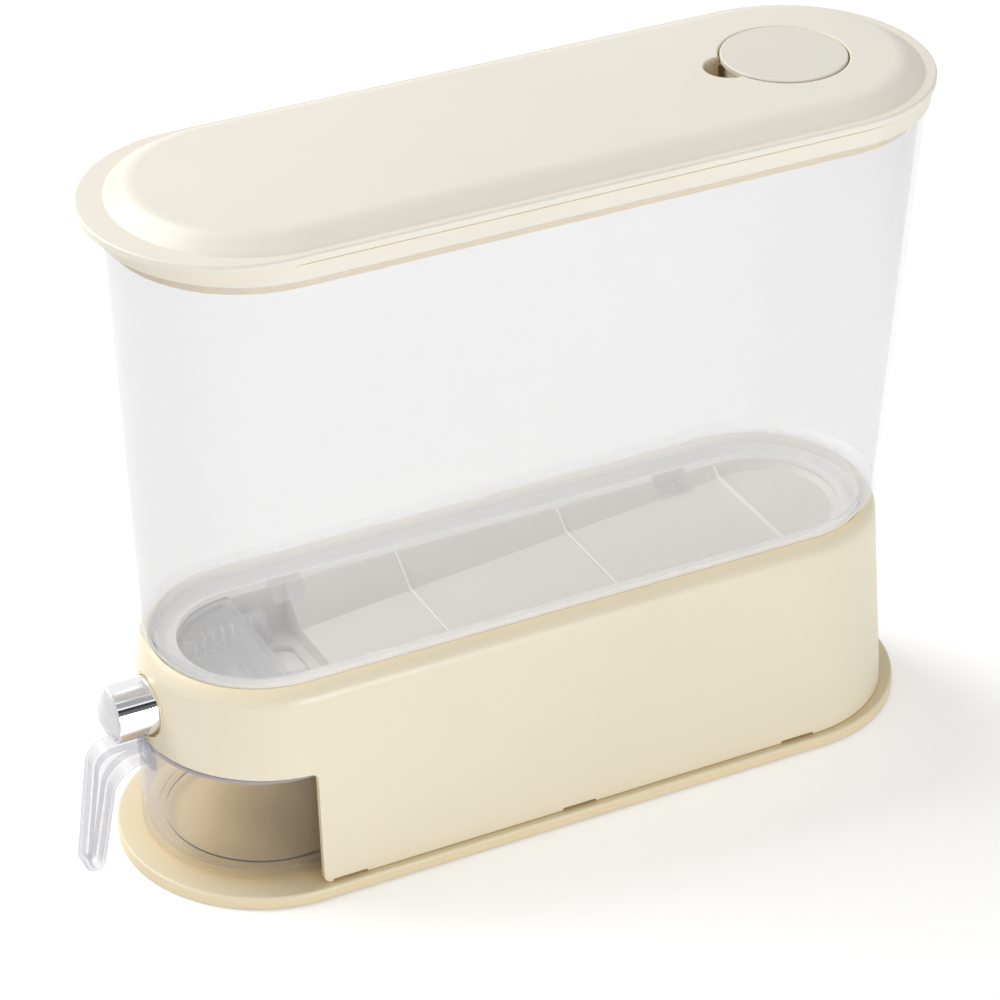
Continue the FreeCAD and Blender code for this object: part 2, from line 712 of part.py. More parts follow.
def make_gate_slider():
    """Sliding gate: a plate with a window and an upright yoke that the rod and both springs push."""
    yoke_front = yoke_rear - yoke_thickness
    plate = box(-gate_half_width, gate_half_width, yoke_front, gate_rear, gate_bottom, gate_top)
    window = rounded_slot(port_width, port_length, gate_window_y, gate_bottom - PAST, gate_top + PAST, port_radius)
    yoke = box(-gate_half_width, gate_half_width, yoke_front, yoke_rear, gate_bottom, yoke_top)
    gate = plate.fuse(yoke)
    for sx in SIDES:
        rib = Part.Face(Part.makePolygon([V(0, yoke_rear, gate_top), V(0, yoke_rear, button_z),
                                          V(0, yoke_rear + gate_travel / 2.0, gate_top),
                                          V(0, yoke_rear, gate_top)])).extrude(V(yoke_rib, 0, 0))
        rib.translate(V(sx * pocket_x / 2.0 - yoke_rib / 2.0, 0, 0))
        pin = along_y(pin_radius, sx * pocket_x, pocket_z, yoke_rear, yoke_rear + pin_length)
        gate = gate.fuse([rib, pin])
    gate = gate.cut(along_y(screw_shank_radius, 0, button_z, yoke_front, yoke_rear))
    return gate.cut(window).removeSplitter()


def make_return_springs():
    """Two compression springs between the yoke and the guard's pockets, as stacked turns of square wire."""
    wire = 2.0 * spring_wire_radius
    front = yoke_rear + spring_end_gap
    rear = pocket_end - pocket_wall - spring_end_gap - wire
    pitch = (rear - front) / (spring_turns - 1)
    turns = []
    for sx in SIDES:
        for i in range(spring_turns):
            y = front + i * pitch
            turn = along_y(spring_radius + spring_wire_radius, sx * pocket_x, pocket_z, y, y + wire)
            turns.append(turn.cut(along_y(spring_radius - spring_wire_radius, sx * pocket_x, pocket_z, y, y + wire)))
    return Part.makeCompound(turns)


def make_button_bush():
    """Plain bush in the housing's front wall that the button runs in."""
    bore = button_radius + bush_gap
    bush = along_y(bore + bush_wall, 0, button_z, bush_front, bush_rear)
    return bush.cut(along_y(bore, 0, button_z, bush_front, bush_rear))


def make_button_sleeve():
    """Plated sleeve of the button, with an end wall inside and a stop flange behind the bush."""
    sleeve = along_y(button_radius, 0, button_z, button_front, button_rear)
    sleeve = sleeve.fuse(along_y(button_radius + button_stop_height, 0, button_z,
                                 button_rear - button_stop_length, button_rear))
    sleeve = sleeve.cut(along_y(button_radius - button_wall, 0, button_z, button_front, button_rear))
    disc = along_y(button_radius - button_wall / 2.0, 0, button_z, button_front + cap_depth,
                   button_front + cap_depth + button_wall)
    return sleeve.fuse(disc).removeSplitter()


def make_button_cap():
    """Domed cap in the sleeve's front end, turned about the button's axis."""
    seat = button_radius - button_wall - cap_gap
    back = button_front + cap_depth
    ball_radius = (seat ** 2 + cap_dome ** 2) / (2.0 * cap_dome)
    half_angle = math.asin(seat / ball_radius) / 2.0
    apex = V(0, button_front - cap_dome, button_z)
    shoulder = V(0, button_front, button_z + seat)
    middle = V(0, apex.y + ball_radius * (1.0 - math.cos(half_angle)), button_z + ball_radius * math.sin(half_angle))
    edges = [Part.Arc(apex, middle, shoulder),
             Part.LineSegment(shoulder, V(0, back, button_z + seat)),
             Part.LineSegment(V(0, back, button_z + seat), V(0, back, button_z)),
             Part.LineSegment(V(0, back, button_z), apex)]
    profile = Part.Face(Part.Wire([e.toShape() for e in edges]))
    return profile.revolve(V(0, 0, button_z), Y_AXIS, 360.0)


def make_push_rod():
    """Rod from the button's inner wall to the gate's yoke, with a hub at its front end."""
    front = button_front + cap_depth + button_wall
    rod = along_y(rod_radius, 0, button_z, front, yoke_rear - yoke_thickness)
    hub = along_y(rod_hub_radius, 0, button_z, front, front + rod_hub_length)
    pilot = along_y(screw_shank_radius, 0, button_z, yoke_rear - screw_length, yoke_rear)
    return rod.fuse(hub).cut(pilot)


def make_rod_screw():
    """Screw through the yoke into the push rod."""
    shank = along_y(screw_shank_radius, 0, button_z, yoke_rear - screw_length, yoke_rear)
    head = along_y(rod_screw_head_radius, 0, button_z, yoke_rear, yoke_rear + rod_screw_head_height)
    slot = box(-rod_screw_head_radius, rod_screw_head_radius, yoke_rear + rod_screw_head_height - screw_socket_depth,
               yoke_rear + rod_screw_head_height, button_z - screw_socket_width / 2.0,
               button_z + screw_socket_width / 2.0)
    return shank.fuse(head).cut(slot)


def make_bin_tank():
    """Clear tapered bin: rounded lower edge, a foot in the housing's opening and a wide outlet."""
    body = bin_block(0.0, bin_body_bottom, bin_top)
    body = body.makeFillet(bin_corner_radius, edges_at(body, bin_body_bottom))
    tank = body.fuse(obround(bin_foot_length, bin_foot_width, bin_foot_bottom,
                             bin_body_bottom + bin_corner_radius / 2.0))
    inner_bottom = bin_body_bottom + bin_wall
    hollow = bin_block(bin_wall, inner_bottom, bin_top + PAST)
    hollow = hollow.makeFillet(bin_corner_radius - bin_wall, edges_at(hollow, inner_bottom))
    well = obround(bin_foot_length - 2.0 * bin_wall, bin_foot_width - 2.0 * bin_wall,
                   bin_foot_bottom + bin_floor, inner_bottom + bin_corner_radius / 2.0)
    outlet = obround(bin_outlet_length, bin_outlet_width, 0, inner_bottom)
    return tank.cut([hollow, well, outlet]).removeSplitter()


def bin_tongue(y):
    """One snap tongue that slopes down from the outlet's right edge, with a small hole near its root."""
    start = V(bin_outlet_width / 2.0, 0, bin_foot_bottom + bin_floor)
    angle = math.radians(trough_slope)
    down = V(-math.cos(angle), 0, -math.sin(angle))
    out = V(-math.sin(angle), 0, math.cos(angle))
    low = start + down * tongue_length
    root = V(bin_outlet_width / 2.0, 0, bin_foot_bottom)
    under = low - out * tongue_thickness
    profile = Part.makePolygon([start, low, under, under - down * (tongue_length / 2.0), root, start])
    tongue = Part.Face(profile).extrude(V(0, tongue_width, 0))
    tongue.translate(V(0, y - tongue_width / 2.0, 0))
    middle = start + down * (tongue_length / 2.0)
    hole = Part.makeCylinder(tongue_hole_radius, 4.0 * tongue_thickness,
                             V(middle.x, y, middle.z) - out * (2.0 * tongue_thickness), out)
    return tongue.cut(hole)


def make_bin_tongues():
    """Four snap tongues that hold the bin to the hopper tray."""
    rights = [bin_tongue(sy * tongue_y) for sy in SIDES]
    return Part.makeCompound(rights + [t.mirror(V(0, 0, 0), X_AXIS) for t in rights])


def make_bin_seal():
    """Flat rubber ring between the bin's floor and the tray's flange."""
    outer = obround(bin_foot_length - 2.0 * seal_outer_margin, bin_foot_width - 2.0 * seal_outer_margin,
                    tray_top, bin_foot_bottom)
    return outer.cut(obround(bin_outlet_length + 2.0 * seal_inner_margin, bin_outlet_width + 2.0 * seal_inner_margin,
                             0, bin_foot_bottom + PAST))


def cup_block(inset, bottom, top):
    """Obround block that follows the cup's outside, moved in by an inset."""
    length = cup_rear_arc_y - cup_front_arc_y + 2.0 * (cup_radius - inset)
    return obround(length, 2.0 * (cup_radius - inset), bottom, top, (cup_front_arc_y + cup_rear_arc_y) / 2.0)


def make_cup_body():
    """Clear measuring cup with a rounded foot and two rings in its floor."""
    cup = cup_block(0.0, cup_bottom, cup_rim)
    cup = cup.makeFillet(cup_foot_radius, edges_at(cup, cup_bottom))
    inside = cup_block(cup_wall, cup_bottom + cup_floor, cup_rim + PAST)
    inside = inside.makeFillet(cup_foot_radius, edges_at(inside, cup_bottom + cup_floor))
    cup = cup.cut(inside)
    cup = cup.cut(cup_block(cup_foot_inset + cup_foot_width, cup_bottom, cup_bottom + cup_foot_depth))
    ring = cup_block(cup_foot_inset, cup_bottom + cup_floor / 2.0, cup_bottom + cup_floor + cup_foot_depth)
    ring = ring.cut(cup_block(cup_foot_inset + cup_foot_width, 0, FAR))
    cup = cup.fuse(ring)
    return cup.makeFillet(cup_rim_radius, edges_at(cup, cup_rim)).removeSplitter()


def arc_through(start, centre, end):
    """Quarter-like arc between two points that lie around a centre."""
    chord = (start + end) * 0.5 - centre
    middle = centre + chord * ((start - centre).Length / chord.Length)
    return Part.Arc(start, middle, end)


def handle_outline():
    """Closed hook-shaped outline of the handle in the X = 0 plane."""
    root_y = cup_front_arc_y - cup_radius + cup_wall / 2.0
    lean = math.tan(math.radians(handle_lean))
    bend_z = handle_top - handle_shoulder_radius
    crook_z = handle_root_bottom - handle_crook_radius
    outer_top = V(0, handle_front + handle_shoulder_radius, handle_top)
    outer_bend = V(0, handle_front, bend_z)
    tip_outer = V(0, handle_front - lean * (bend_z - handle_tip_z), handle_tip_z)
    tip_inner = tip_outer + V(0, 2.0 * handle_tip_radius, 0)
    tip_end = tip_outer + V(0, handle_tip_radius, -handle_tip_radius)
    inner_bend = V(0, handle_front - lean * (bend_z - crook_z) + handle_thickness, crook_z)
    inner_top = inner_bend + V(0, handle_crook_radius, handle_crook_radius)
    root_bottom = V(0, root_y, handle_root_bottom)
    root_top = V(0, root_y, handle_top)
    edges = [Part.LineSegment(root_top, outer_top),
             arc_through(outer_top, V(0, outer_top.y, outer_bend.z), outer_bend),
             Part.LineSegment(outer_bend, tip_outer),
             Part.Arc(tip_outer, tip_end, tip_inner),
             Part.LineSegment(tip_inner, inner_bend),
             arc_through(inner_bend, V(0, inner_top.y, inner_bend.z), inner_top),
             Part.LineSegment(inner_top, root_bottom),
             Part.LineSegment(root_bottom, root_top)]
    return Part.Wire([e.toShape() for e in edges])


def make_cup_handle():
    """Clear hook handle of I section on a curved pad that is bonded to the cup's front."""
    outline = Part.Face(handle_outline())
    half = handle_width / 2.0
    grip = outline.extrude(V(handle_width, 0, 0))
    grip.translate(V(-half, 0, 0))
    rims = [e for e in grip.Edges if abs(abs(e.BoundBox.XMin) - half) < 0.01 and e.BoundBox.XLength < 0.01
            and e.BoundBox.YMin < cup_front_arc_y - cup_radius]
    grip = grip.makeFillet(handle_edge_radius, rims)
    pocket_face = outline.makeOffset2D(-handle_border)
    depth = (handle_width - handle_web) / 2.0
    for x in (-half, half - depth):
        pocket = pocket_face.extrude(V(depth, 0, 0))
        pocket.translate(V(x, 0, 0))
        grip = grip.cut(pocket)
    pad = upright(cup_radius + handle_pad_thickness, 0, cup_front_arc_y, handle_root_bottom - handle_pad_thickness,
                  cup_rim - cup_rim_radius)
    half_pad = handle_pad_width / 2.0
    pad = pad.common(box(-half_pad, half_pad, -FAR, cup_front_arc_y, 0, cup_rim))
    handle = grip.fuse(pad).cut(upright(cup_radius, 0, cup_front_arc_y, 0, FAR))
    band = -housing_length / 2.0 + housing_inset(band_bottom) - handle_housing_gap
    handle = handle.cut(box(-FAR, FAR, band, 0, band_bottom - handle_housing_gap, FAR))
    return handle.removeSplitter()


def panel_block(lower):
    """Raised middle of the lid: a shallow sloping flank and a flat top with a soft bend, moved in by a wall."""
    slope = math.radians(panel_slope)
    shift = lower * math.tan(slope / 2.0) if lower else 0.0
    run = panel_height / math.tan(slope)
    bottom = lid_rim_top - lower
    foot = (panel_length - 2.0 * shift, panel_width - 2.0 * shift, bottom, panel_y)
    top = (foot[0] - 2.0 * run, foot[1] - 2.0 * run, bottom + panel_height, panel_y)
    block = obround_taper(foot, top)
    radius = panel_bend_radius - lower
    return block.makeFillet(radius, edges_at(block, bottom + panel_height))


def make_lid_panel():
    """Top of the lid: flat rim, raised panel, hole for the desiccant box and a finger notch beside it."""
    rim = obround(lid_length, lid_width, lid_flange_bottom, lid_rim_top)
    rim = rim.makeFillet(lid_edge_radius, edges_at(rim, lid_rim_top))
    panel = rim.fuse(panel_block(0.0))
    panel = panel.cut(panel_block(lid_wall))
    foot = 2.0 * lid_wall
    panel = panel.cut(obround(panel_length - foot, panel_width - foot, lid_flange_bottom - PAST,
                              lid_rim_top - lid_wall, panel_y))
    notch_bottom = panel_top - notch_depth
    cup = upright(notch_radius + notch_wall, 0, notch_y, notch_bottom - notch_wall, panel_underside)
    box_radius = desiccant_radius + desiccant_hole_gap + desiccant_box_wall
    cup = cup.cut(upright(box_radius, 0, desiccant_y, 0, FAR))
    hole = upright(desiccant_radius + desiccant_hole_gap, 0, desiccant_y, panel_underside - PAST, panel_top + PAST)
    hole = hole.fuse(upright(notch_radius, 0, notch_y, notch_bottom, panel_top + PAST)).removeSplitter()
    panel = panel.fuse(cup).cut(hole)
    edges = [e for e in edges_at(panel, panel_top) if e.BoundBox.YMin > notch_y - notch_radius - PAST
             and e.BoundBox.YMax < desiccant_y + desiccant_radius + desiccant_hole_gap + PAST
             and e.BoundBox.XMax < desiccant_radius + desiccant_hole_gap + PAST]
    return panel.makeFillet(desiccant_hole_edge, edges).removeSplitter()


def make_lid_frame():
    """Ring under the lid: a short skirt outside the bin's mouth and a plug inside it."""
    skirt_inset = -frame_gap - frame_skirt
    level = bin_outline(frame_skirt_bottom, skirt_inset)
    outer = obround(level[0], level[1], frame_skirt_bottom, lid_flange_bottom - frame_groove, level[3])
    neck = obround(level[0] - 2.0 * frame_neck_inset, level[1] - 2.0 * frame_neck_inset,
                   frame_skirt_bottom, lid_flange_bottom, level[3])
    plug = bin_block(bin_wall + frame_gap, frame_plug_bottom, lid_flange_bottom - frame_groove)
    rim_space = bin_block(-frame_gap, frame_skirt_bottom, bin_top + frame_gap)
    frame = outer.fuse(neck).cut(rim_space).fuse(plug)
    inner = bin_block(bin_wall + frame_gap + frame_plug_wall, frame_plug_bottom - PAST, lid_flange_bottom + PAST)
    groove = bin_block(0.0, lid_seal_bottom, lid_seal_bottom + lid_seal_height)
    groove = groove.cut(bin_block(bin_wall + frame_gap + frame_plug_wall / 2.0, lid_seal_bottom - PAST,
                                  lid_seal_bottom + lid_seal_height + PAST))
    return frame.cut([inner, groove]).removeSplitter()


def make_lid_seal():
    """Rubber ring in the plug's groove."""
    top = lid_seal_bottom + lid_seal_height
    ring = bin_block(bin_wall + frame_gap, lid_seal_bottom, top)
    return ring.cut(bin_block(bin_wall + frame_gap + frame_plug_wall / 2.0, lid_seal_bottom - PAST, top + PAST))


def make_desiccant_box():
    """Round box under the lid with a slotted floor and a ledge for the desiccant cap."""
    inner = desiccant_radius + desiccant_hole_gap
    bottom = panel_underside - desiccant_box_depth
    body = upright(inner + desiccant_box_wall, 0, desiccant_y, bottom, panel_underside)
    body = body.cut(upright(inner, 0, desiccant_y, bottom + desiccant_box_wall, panel_underside))
    ledge_top = disc_bottom - desiccant_seal
    ledge = upright(inner + desiccant_box_wall / 2.0, 0, desiccant_y, ledge_top - desiccant_ledge_height, ledge_top)
    ledge = ledge.cut(upright(inner - desiccant_ledge, 0, desiccant_y, 0, FAR))
    body = body.fuse(ledge)
    body = body.cut(upright(notch_radius, 0, notch_y, panel_top - notch_depth, panel_top))
    for i in range(desiccant_slot_count):
        x = (i - (desiccant_slot_count - 1) / 2.0) * desiccant_slot_pitch
        half = math.sqrt((inner - 2.0 * desiccant_box_wall) ** 2 - x ** 2) - desiccant_slot_width
        body = body.cut(box(x - desiccant_slot_width / 2.0, x + desiccant_slot_width / 2.0, desiccant_y - half,
                            desiccant_y + half, bottom - PAST, bottom + desiccant_box_wall + PAST))
    return body.removeSplitter()


def make_desiccant_cap():
    """Lift-out round cap with a hollow plug below its disc."""
    disc = upright(desiccant_radius, 0, desiccant_y, disc_bottom, disc_top)
    disc = disc.makeFillet(desiccant_hole_edge, edges_at(disc, disc_top))
    radius = desiccant_radius + desiccant_hole_gap - desiccant_ledge - desiccant_plug_gap
    plug = upright(radius, 0, desiccant_y, disc_bottom - desiccant_plug_depth, disc_bottom)
    plug = plug.cut(upright(radius - desiccant_plug_wall, 0, desiccant_y, 0, disc_bottom))
    return disc.fuse(plug).removeSplitter()


def make_desiccant_seal():
    """Flat rubber ring under the desiccant cap's disc."""
    inner = desiccant_radius + desiccant_hole_gap - desiccant_ledge - desiccant_plug_gap
    ring = upright(desiccant_radius - desiccant_seal, 0, desiccant_y, disc_bottom - desiccant_seal, disc_bottom)
    return ring.cut(upright(inner, 0, desiccant_y, 0, FAR))


SUB_PARTS = {
    "base_plate": make_base_plate,
    "foot_pads": make_foot_pads,
    "base_screws": make_base_screws,
    "housing_shell": make_housing,
    "bay_liner": make_bay_liner,
    "outlet_chute": make_outlet_chute,
    "gate_rails": make_gate_rails,
    "hopper_tray": make_hopper_tray,
    "tray_screws": make_tray_screws,
    "mechanism_guard": make_mechanism_guard,
    "gate_slider": make_gate_slider,
    "return_springs": make_return_springs,
    "button_bush": make_button_bush,
    "button_sleeve": make_button_sleeve,
    "button_cap": make_button_cap,
    "push_rod": make_push_rod,
    "rod_screw": make_rod_screw,
    "bin_tank": make_bin_tank,
    "bin_tongues": make_bin_tongues,
    "bin_seal": make_bin_seal,
    "cup_body": make_cup_body,
    "cup_handle": make_cup_handle,
    "lid_panel": make_lid_panel,
    "lid_frame": make_lid_frame,
    "lid_seal": make_lid_seal,
    "desiccant_box": make_desiccant_box,
    "desiccant_cap": make_desiccant_cap,
    "desiccant_seal": make_desiccant_seal,
}

os.makedirs("parts", exist_ok=True)
shapes = {name: make() for name, make in SUB_PARTS.items()}
bounds = [shape.optimalBoundingBox(False, False) for shape in shapes.values()]
middle_y = (min(bound.YMin for bound in bounds) + max(bound.YMax for bound in bounds)) / 2.0
for name, shape in shapes.items():
    shape.translate(V(0, -middle_y, 0))
    shape.exportStep("parts/" + name + ".step")
    print(name, len(shape.Solids), "solids", round(shape.Volume / 1000.0, 1), "cm3", shape.isValid())
print("moved along Y by", round(-middle_y, 4))
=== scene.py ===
"""Looks of a countertop rice dispenser: finishes, wound springs, screws and a plain stage.

Metres. +Z is up, the button and the cup's handle are at -Y, and +X is the right side.
"""
import math

import bmesh
import bpy
from mathutils import Matrix, Vector


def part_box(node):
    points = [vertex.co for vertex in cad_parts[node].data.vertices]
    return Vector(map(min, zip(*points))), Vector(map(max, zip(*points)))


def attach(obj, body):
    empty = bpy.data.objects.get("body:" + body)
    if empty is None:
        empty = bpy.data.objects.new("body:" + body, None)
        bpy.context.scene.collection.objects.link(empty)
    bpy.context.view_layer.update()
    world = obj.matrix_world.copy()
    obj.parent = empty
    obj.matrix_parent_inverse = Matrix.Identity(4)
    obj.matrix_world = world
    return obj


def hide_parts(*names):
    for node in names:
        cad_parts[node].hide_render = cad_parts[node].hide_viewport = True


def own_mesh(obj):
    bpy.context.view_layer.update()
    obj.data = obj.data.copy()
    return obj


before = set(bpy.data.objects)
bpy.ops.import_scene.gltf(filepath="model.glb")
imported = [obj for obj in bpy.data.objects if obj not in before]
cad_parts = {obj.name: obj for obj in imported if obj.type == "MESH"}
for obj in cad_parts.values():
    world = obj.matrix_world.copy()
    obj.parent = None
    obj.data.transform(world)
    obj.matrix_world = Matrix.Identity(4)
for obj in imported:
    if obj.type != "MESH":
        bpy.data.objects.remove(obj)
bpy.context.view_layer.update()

bl_info = {
    "name": "Rice dispenser",
    "version": (1, 0, 0),
    "blender": (4, 5, 0),
    "location": "View3D > Sidebar > Dispenser",
    "description": "Finishes, springs, screws and a plain stage for a countertop rice dispenser",
    "category": "Object",
}

MM = 0.001
TROUGH_RIBS = (-0.03091, 0.04609, 0.12408)      # along Y, as packed
TROUGH_RIB_HALF = 0.6 * MM
TROUGH_HALF = 34.0 * MM
CREVICE_SHADE_TINT = (1.0, 0.84, 0.58)       # painted warm shade: cream is multiplied by this colour in its crevices
CREVICE_SHADE_REACH = 14.0 * MM
CREAM_SOFTNESS = 0.08                # share of light that wanders inside cream plastic; it also turns on the painted crevice shade
FOOT_RISE = 5.0 * MM                 # how far the bin's thick foot shows above the housing
FOOT_VEIL = 0.6
CUP_VEIL = (0.025, 0.42)             # how much a clear skin hides, seen square on and along its surface
HANDLE_VEIL = (0.22, 0.8)
CUP_RIM = (1.8 * MM, 1.4 * MM)       # below the cup's top, where its dense rim begins and is whole
RIM_VEIL = 0.7
SCREW_HEAD = 1.6 * MM                # heights of the screws' heads
ROD_SCREW_HEAD = 2.0 * MM
FLOOR_HALF = 6.0
LAMPS_LOOK_AT = (0.0, 0.0, 0.15)
CARD_LENGTH = 1.6


# ---------------------------------------------------------------- settings

def colour_setting(name, description, default):
    """A colour that a user may change."""
    return bpy.props.FloatVectorProperty(name=name, description=description, default=default,
                                         size=3, min=0.0, max=1.0, subtype="COLOR")


def length_setting(name, description, default):
    """A length that a user may change."""
    return bpy.props.FloatProperty(name=name, description=description, default=default, min=0.0,
                                   subtype="DISTANCE", unit="LENGTH")


def angle_setting(name, description, default):
    """An angle that a user may change."""
    return bpy.props.FloatProperty(name=name, description=description, default=default,
                                   subtype="ANGLE", unit="ROTATION")


def share_setting(name, description, default):
    """A share between none and all that a user may change."""
    return bpy.props.FloatProperty(name=name, description=description, default=default, min=0.0, max=1.0,
                                   subtype="FACTOR")


def power_setting(name, description, default):
    """A lamp's power that a user may change."""
    return bpy.props.FloatProperty(name=name, description=description, default=default, min=0.0,
                                   unit="POWER")


class DispenserFinishes(bpy.types.PropertyGroup):
    """Colours and clearness of the dispenser's plastics, rubber and metal."""
    cream: colour_setting("Cream", "Housing", (0.86, 0.79, 0.615))
    lid: colour_setting("Lid", "Lid's panel, frame and desiccant box", (0.865, 0.825, 0.725))
    # Painted shade: a warmer cream than the housing, for the warm shade on the plate and in the lid's notch.
    base: colour_setting("Base", "Base plate", (0.86, 0.77, 0.57))
    # Painted shade and light: the cream is drawn tan for the warm shade inside the cup's bay, and bright for
    # the light that reaches it.
    bay: colour_setting("Bay", "Wall and roof of the cup's bay", (0.92, 0.74, 0.44))
    hopper: colour_setting("Hopper", "Hopper tray inside the bin", (0.68, 0.64, 0.59))
    # Painted highlight: the rib crests are drawn lighter where they catch the light.
    hopper_rib_highlight: colour_setting("Hopper rib", "Crests of the hopper's cross ribs", (0.93, 0.87, 0.76))
    cap: colour_setting("Lid cap", "Round cap in the lid", (0.80, 0.765, 0.68))
    bin: colour_setting("Bin", "Frosted walls of the bin", (0.74, 0.74, 0.75))
    bin_edge: colour_setting("Bin edge", "Frosted wall seen along its surface", (0.60, 0.60, 0.625))
    # Painted light: the bin's foot is drawn lighter than its wall, for the light that the thick foot gathers.
    bin_foot_painted_light: colour_setting("Bin foot", "Thick foot of the bin", (0.93, 0.92, 0.90))
    bin_veil: share_setting("Bin veil", "How much each skin of the bin's walls hides", 0.25)
    guard_veil: share_setting("Guard veil", "How much each skin of the mechanism guard hides", 0.24)
    lets_through: share_setting("Lets through", "How much of a clear wall's shade is taken away", 0.85)
    # Painted shade: how strongly the ambient-occlusion crevice tint darkens and warms cream plastic.
    painted_crevice_shade: share_setting("Crevice", "How far cream plastic warms where light bleeds into its crevices", 0.9)
    cup: colour_setting("Cup", "Clear measuring cup", (0.74, 0.74, 0.79))
    handle: colour_setting("Handle", "Clear handle of the cup", (0.43, 0.43, 0.49))
    clear_edge: colour_setting("Clear edge", "Clear plastic seen along its wall", (0.38, 0.37, 0.47))
    cup_edge: colour_setting("Cup edge", "Thin clear wall seen along its surface", (0.52, 0.51, 0.60))
    pearl: colour_setting("Pearl", "Button's domed cap", (0.70, 0.70, 0.71))
    chrome: colour_setting("Chrome", "Plated sleeve of the button", (0.88, 0.88, 0.90))
    acetal: colour_setting("Acetal", "Gate, rails, chute and push rod", (0.84, 0.84, 0.80))
    silicone: colour_setting("Silicone", "Seals", (0.82, 0.82, 0.80))
    rubber: colour_setting("Rubber", "Pads under the base plate", (0.13, 0.13, 0.125))
    steel: colour_setting("Steel", "Springs and screws", (0.52, 0.52, 0.53))


class DispenserSprings(bpy.types.PropertyGroup):
    """Sizes of the two return springs."""
    radius: length_setting("Radius", "From the axis to the middle of the wire", 5.2 * MM)
    wire: length_setting("Wire", "Radius of the wire", 0.6 * MM)
    turns: bpy.props.FloatProperty(name="Turns", description="Turns of each spring", default=9.0, min=1.0)


class DispenserScrews(bpy.types.PropertyGroup):
    """Sizes of the self-tapping screws."""
    shank: length_setting("Shank", "Radius at the thread's crest", 1.5 * MM)
    core: length_setting("Core", "Radius at the thread's root", 1.15 * MM)
    pitch: length_setting("Pitch", "Distance between thread turns", 1.1 * MM)
    recess: length_setting("Recess", "Length of the cross recess's arms", 1.9 * MM)


class DispenserStage(bpy.types.PropertyGroup):
    """Camera and lamps."""
    azimuth: angle_setting("Azimuth", "Camera's turn from the front to the right", math.radians(62.617))
    elevation: angle_setting("Elevation", "Camera's height above level", math.radians(31.928))
    roll: angle_setting("Roll", "Camera's roll", math.radians(0.2206))
    camera_place: bpy.props.FloatVectorProperty(name="Camera", description="Where the camera stands",
                                                default=(1.19705, -0.618805, 0.96712), size=3,
                                                subtype="TRANSLATION", unit="LENGTH")
    lens: bpy.props.FloatProperty(name="Lens", description="Focal length for a 36 mm sensor, in millimetres",
                                  default=137.99, min=1.0)
    sky: bpy.props.FloatProperty(name="Sky", description="Brightness of the even light",
                                 default=0.36, min=0.0)
    key: power_setting("Key lamp", "Power of the large lamp", 46.0)
    floor_lift: share_setting("Floor lift", "How much lighter the camera sees the floor", 0.34)
    fill: power_setting("Fill lamp", "Power of the low lamp on the right", 14.0)
    front: power_setting("Front lamp", "Power of the low lamp in front", 2.0)


# ---------------------------------------------------------------- materials

def principled(tree):
    """The Principled shader of a material's node tree."""
    return next(n for n in tree.nodes if n.type == "BSDF_PRINCIPLED")


def new_material(name):
    """An empty node material, its node tree and its Principled shader."""
    material = bpy.data.materials.new(name)
    material.use_nodes = True
    tree = material.node_tree
    return material, tree, principled(tree)


def set_inputs(node, **values):
    """Sets sockets by name, with underscores for spaces."""
    for name, value in values.items():
        node.inputs[name.replace("_", " ")].default_value = value


def noise(tree, scale, detail=2.0, roughness=0.5):
    """Noise on the object's own coordinates, its scale in features to the metre."""
    place = tree.nodes.new("ShaderNodeTexCoord")
    texture = tree.nodes.new("ShaderNodeTexNoise")
    set_inputs(texture, Scale=scale, Detail=detail, Roughness=roughness)
    tree.links.new(place.outputs["Object"], texture.inputs["Vector"])
    return texture


def spread(tree, source, low, high):
    """Maps a value from around the middle of its range to low and high."""
    mapping = tree.nodes.new("ShaderNodeMapRange")
    set_inputs(mapping, From_Min=0.3, From_Max=0.7, To_Min=low, To_Max=high)
    tree.links.new(source, mapping.inputs["Value"])
    return mapping.outputs["Result"]


def shaded(colour, factor):
    """The colour with alpha, brighter or darker by a factor."""
    return tuple(min(1.0, c * factor) for c in colour) + (1.0,)


def mottled(tree, shader, colour, amount, scale):
    """Base colour that drifts a little over the surface."""
    ramp = tree.nodes.new("ShaderNodeValToRGB")
    ramp.color_ramp.elements[0].position = 0.3
    ramp.color_ramp.elements[1].position = 0.7
    ramp.color_ramp.elements[0].color = shaded(colour, 1.0 - amount)
    ramp.color_ramp.elements[1].color = shaded(colour, 1.0 + amount)
    tree.links.new(noise(tree, scale).outputs["Fac"], ramp.inputs["Fac"])
    tree.links.new(ramp.outputs["Color"], shader.inputs["Base Color"])


def grained(tree, shader, scale, depth, round_edge=0.0):
    """Fine grain in the surface, over edges that look rounded by a small radius."""
    bump = tree.nodes.new("ShaderNodeBump")
    set_inputs(bump, Strength=1.0, Distance=depth)
    tree.links.new(noise(tree, scale, 3.0).outputs["Fac"], bump.inputs["Height"])
    if round_edge:
        edge = tree.nodes.new("ShaderNodeBevel")
        edge.samples = 6
        set_inputs(edge, Radius=round_edge)
        tree.links.new(edge.outputs["Normal"], bump.inputs["Normal"])
    tree.links.new(bump.outputs["Normal"], shader.inputs["Normal"])


def worked_out(tree, operation, *values):
    """The result of a sum on sockets or numbers."""
    node = tree.nodes.new("ShaderNodeMath")
    node.operation = operation
    for value, socket in zip(values, node.inputs):
        if isinstance(value, float):
            socket.default_value = value
        else:
            tree.links.new(value, socket)
    return node.outputs["Value"]


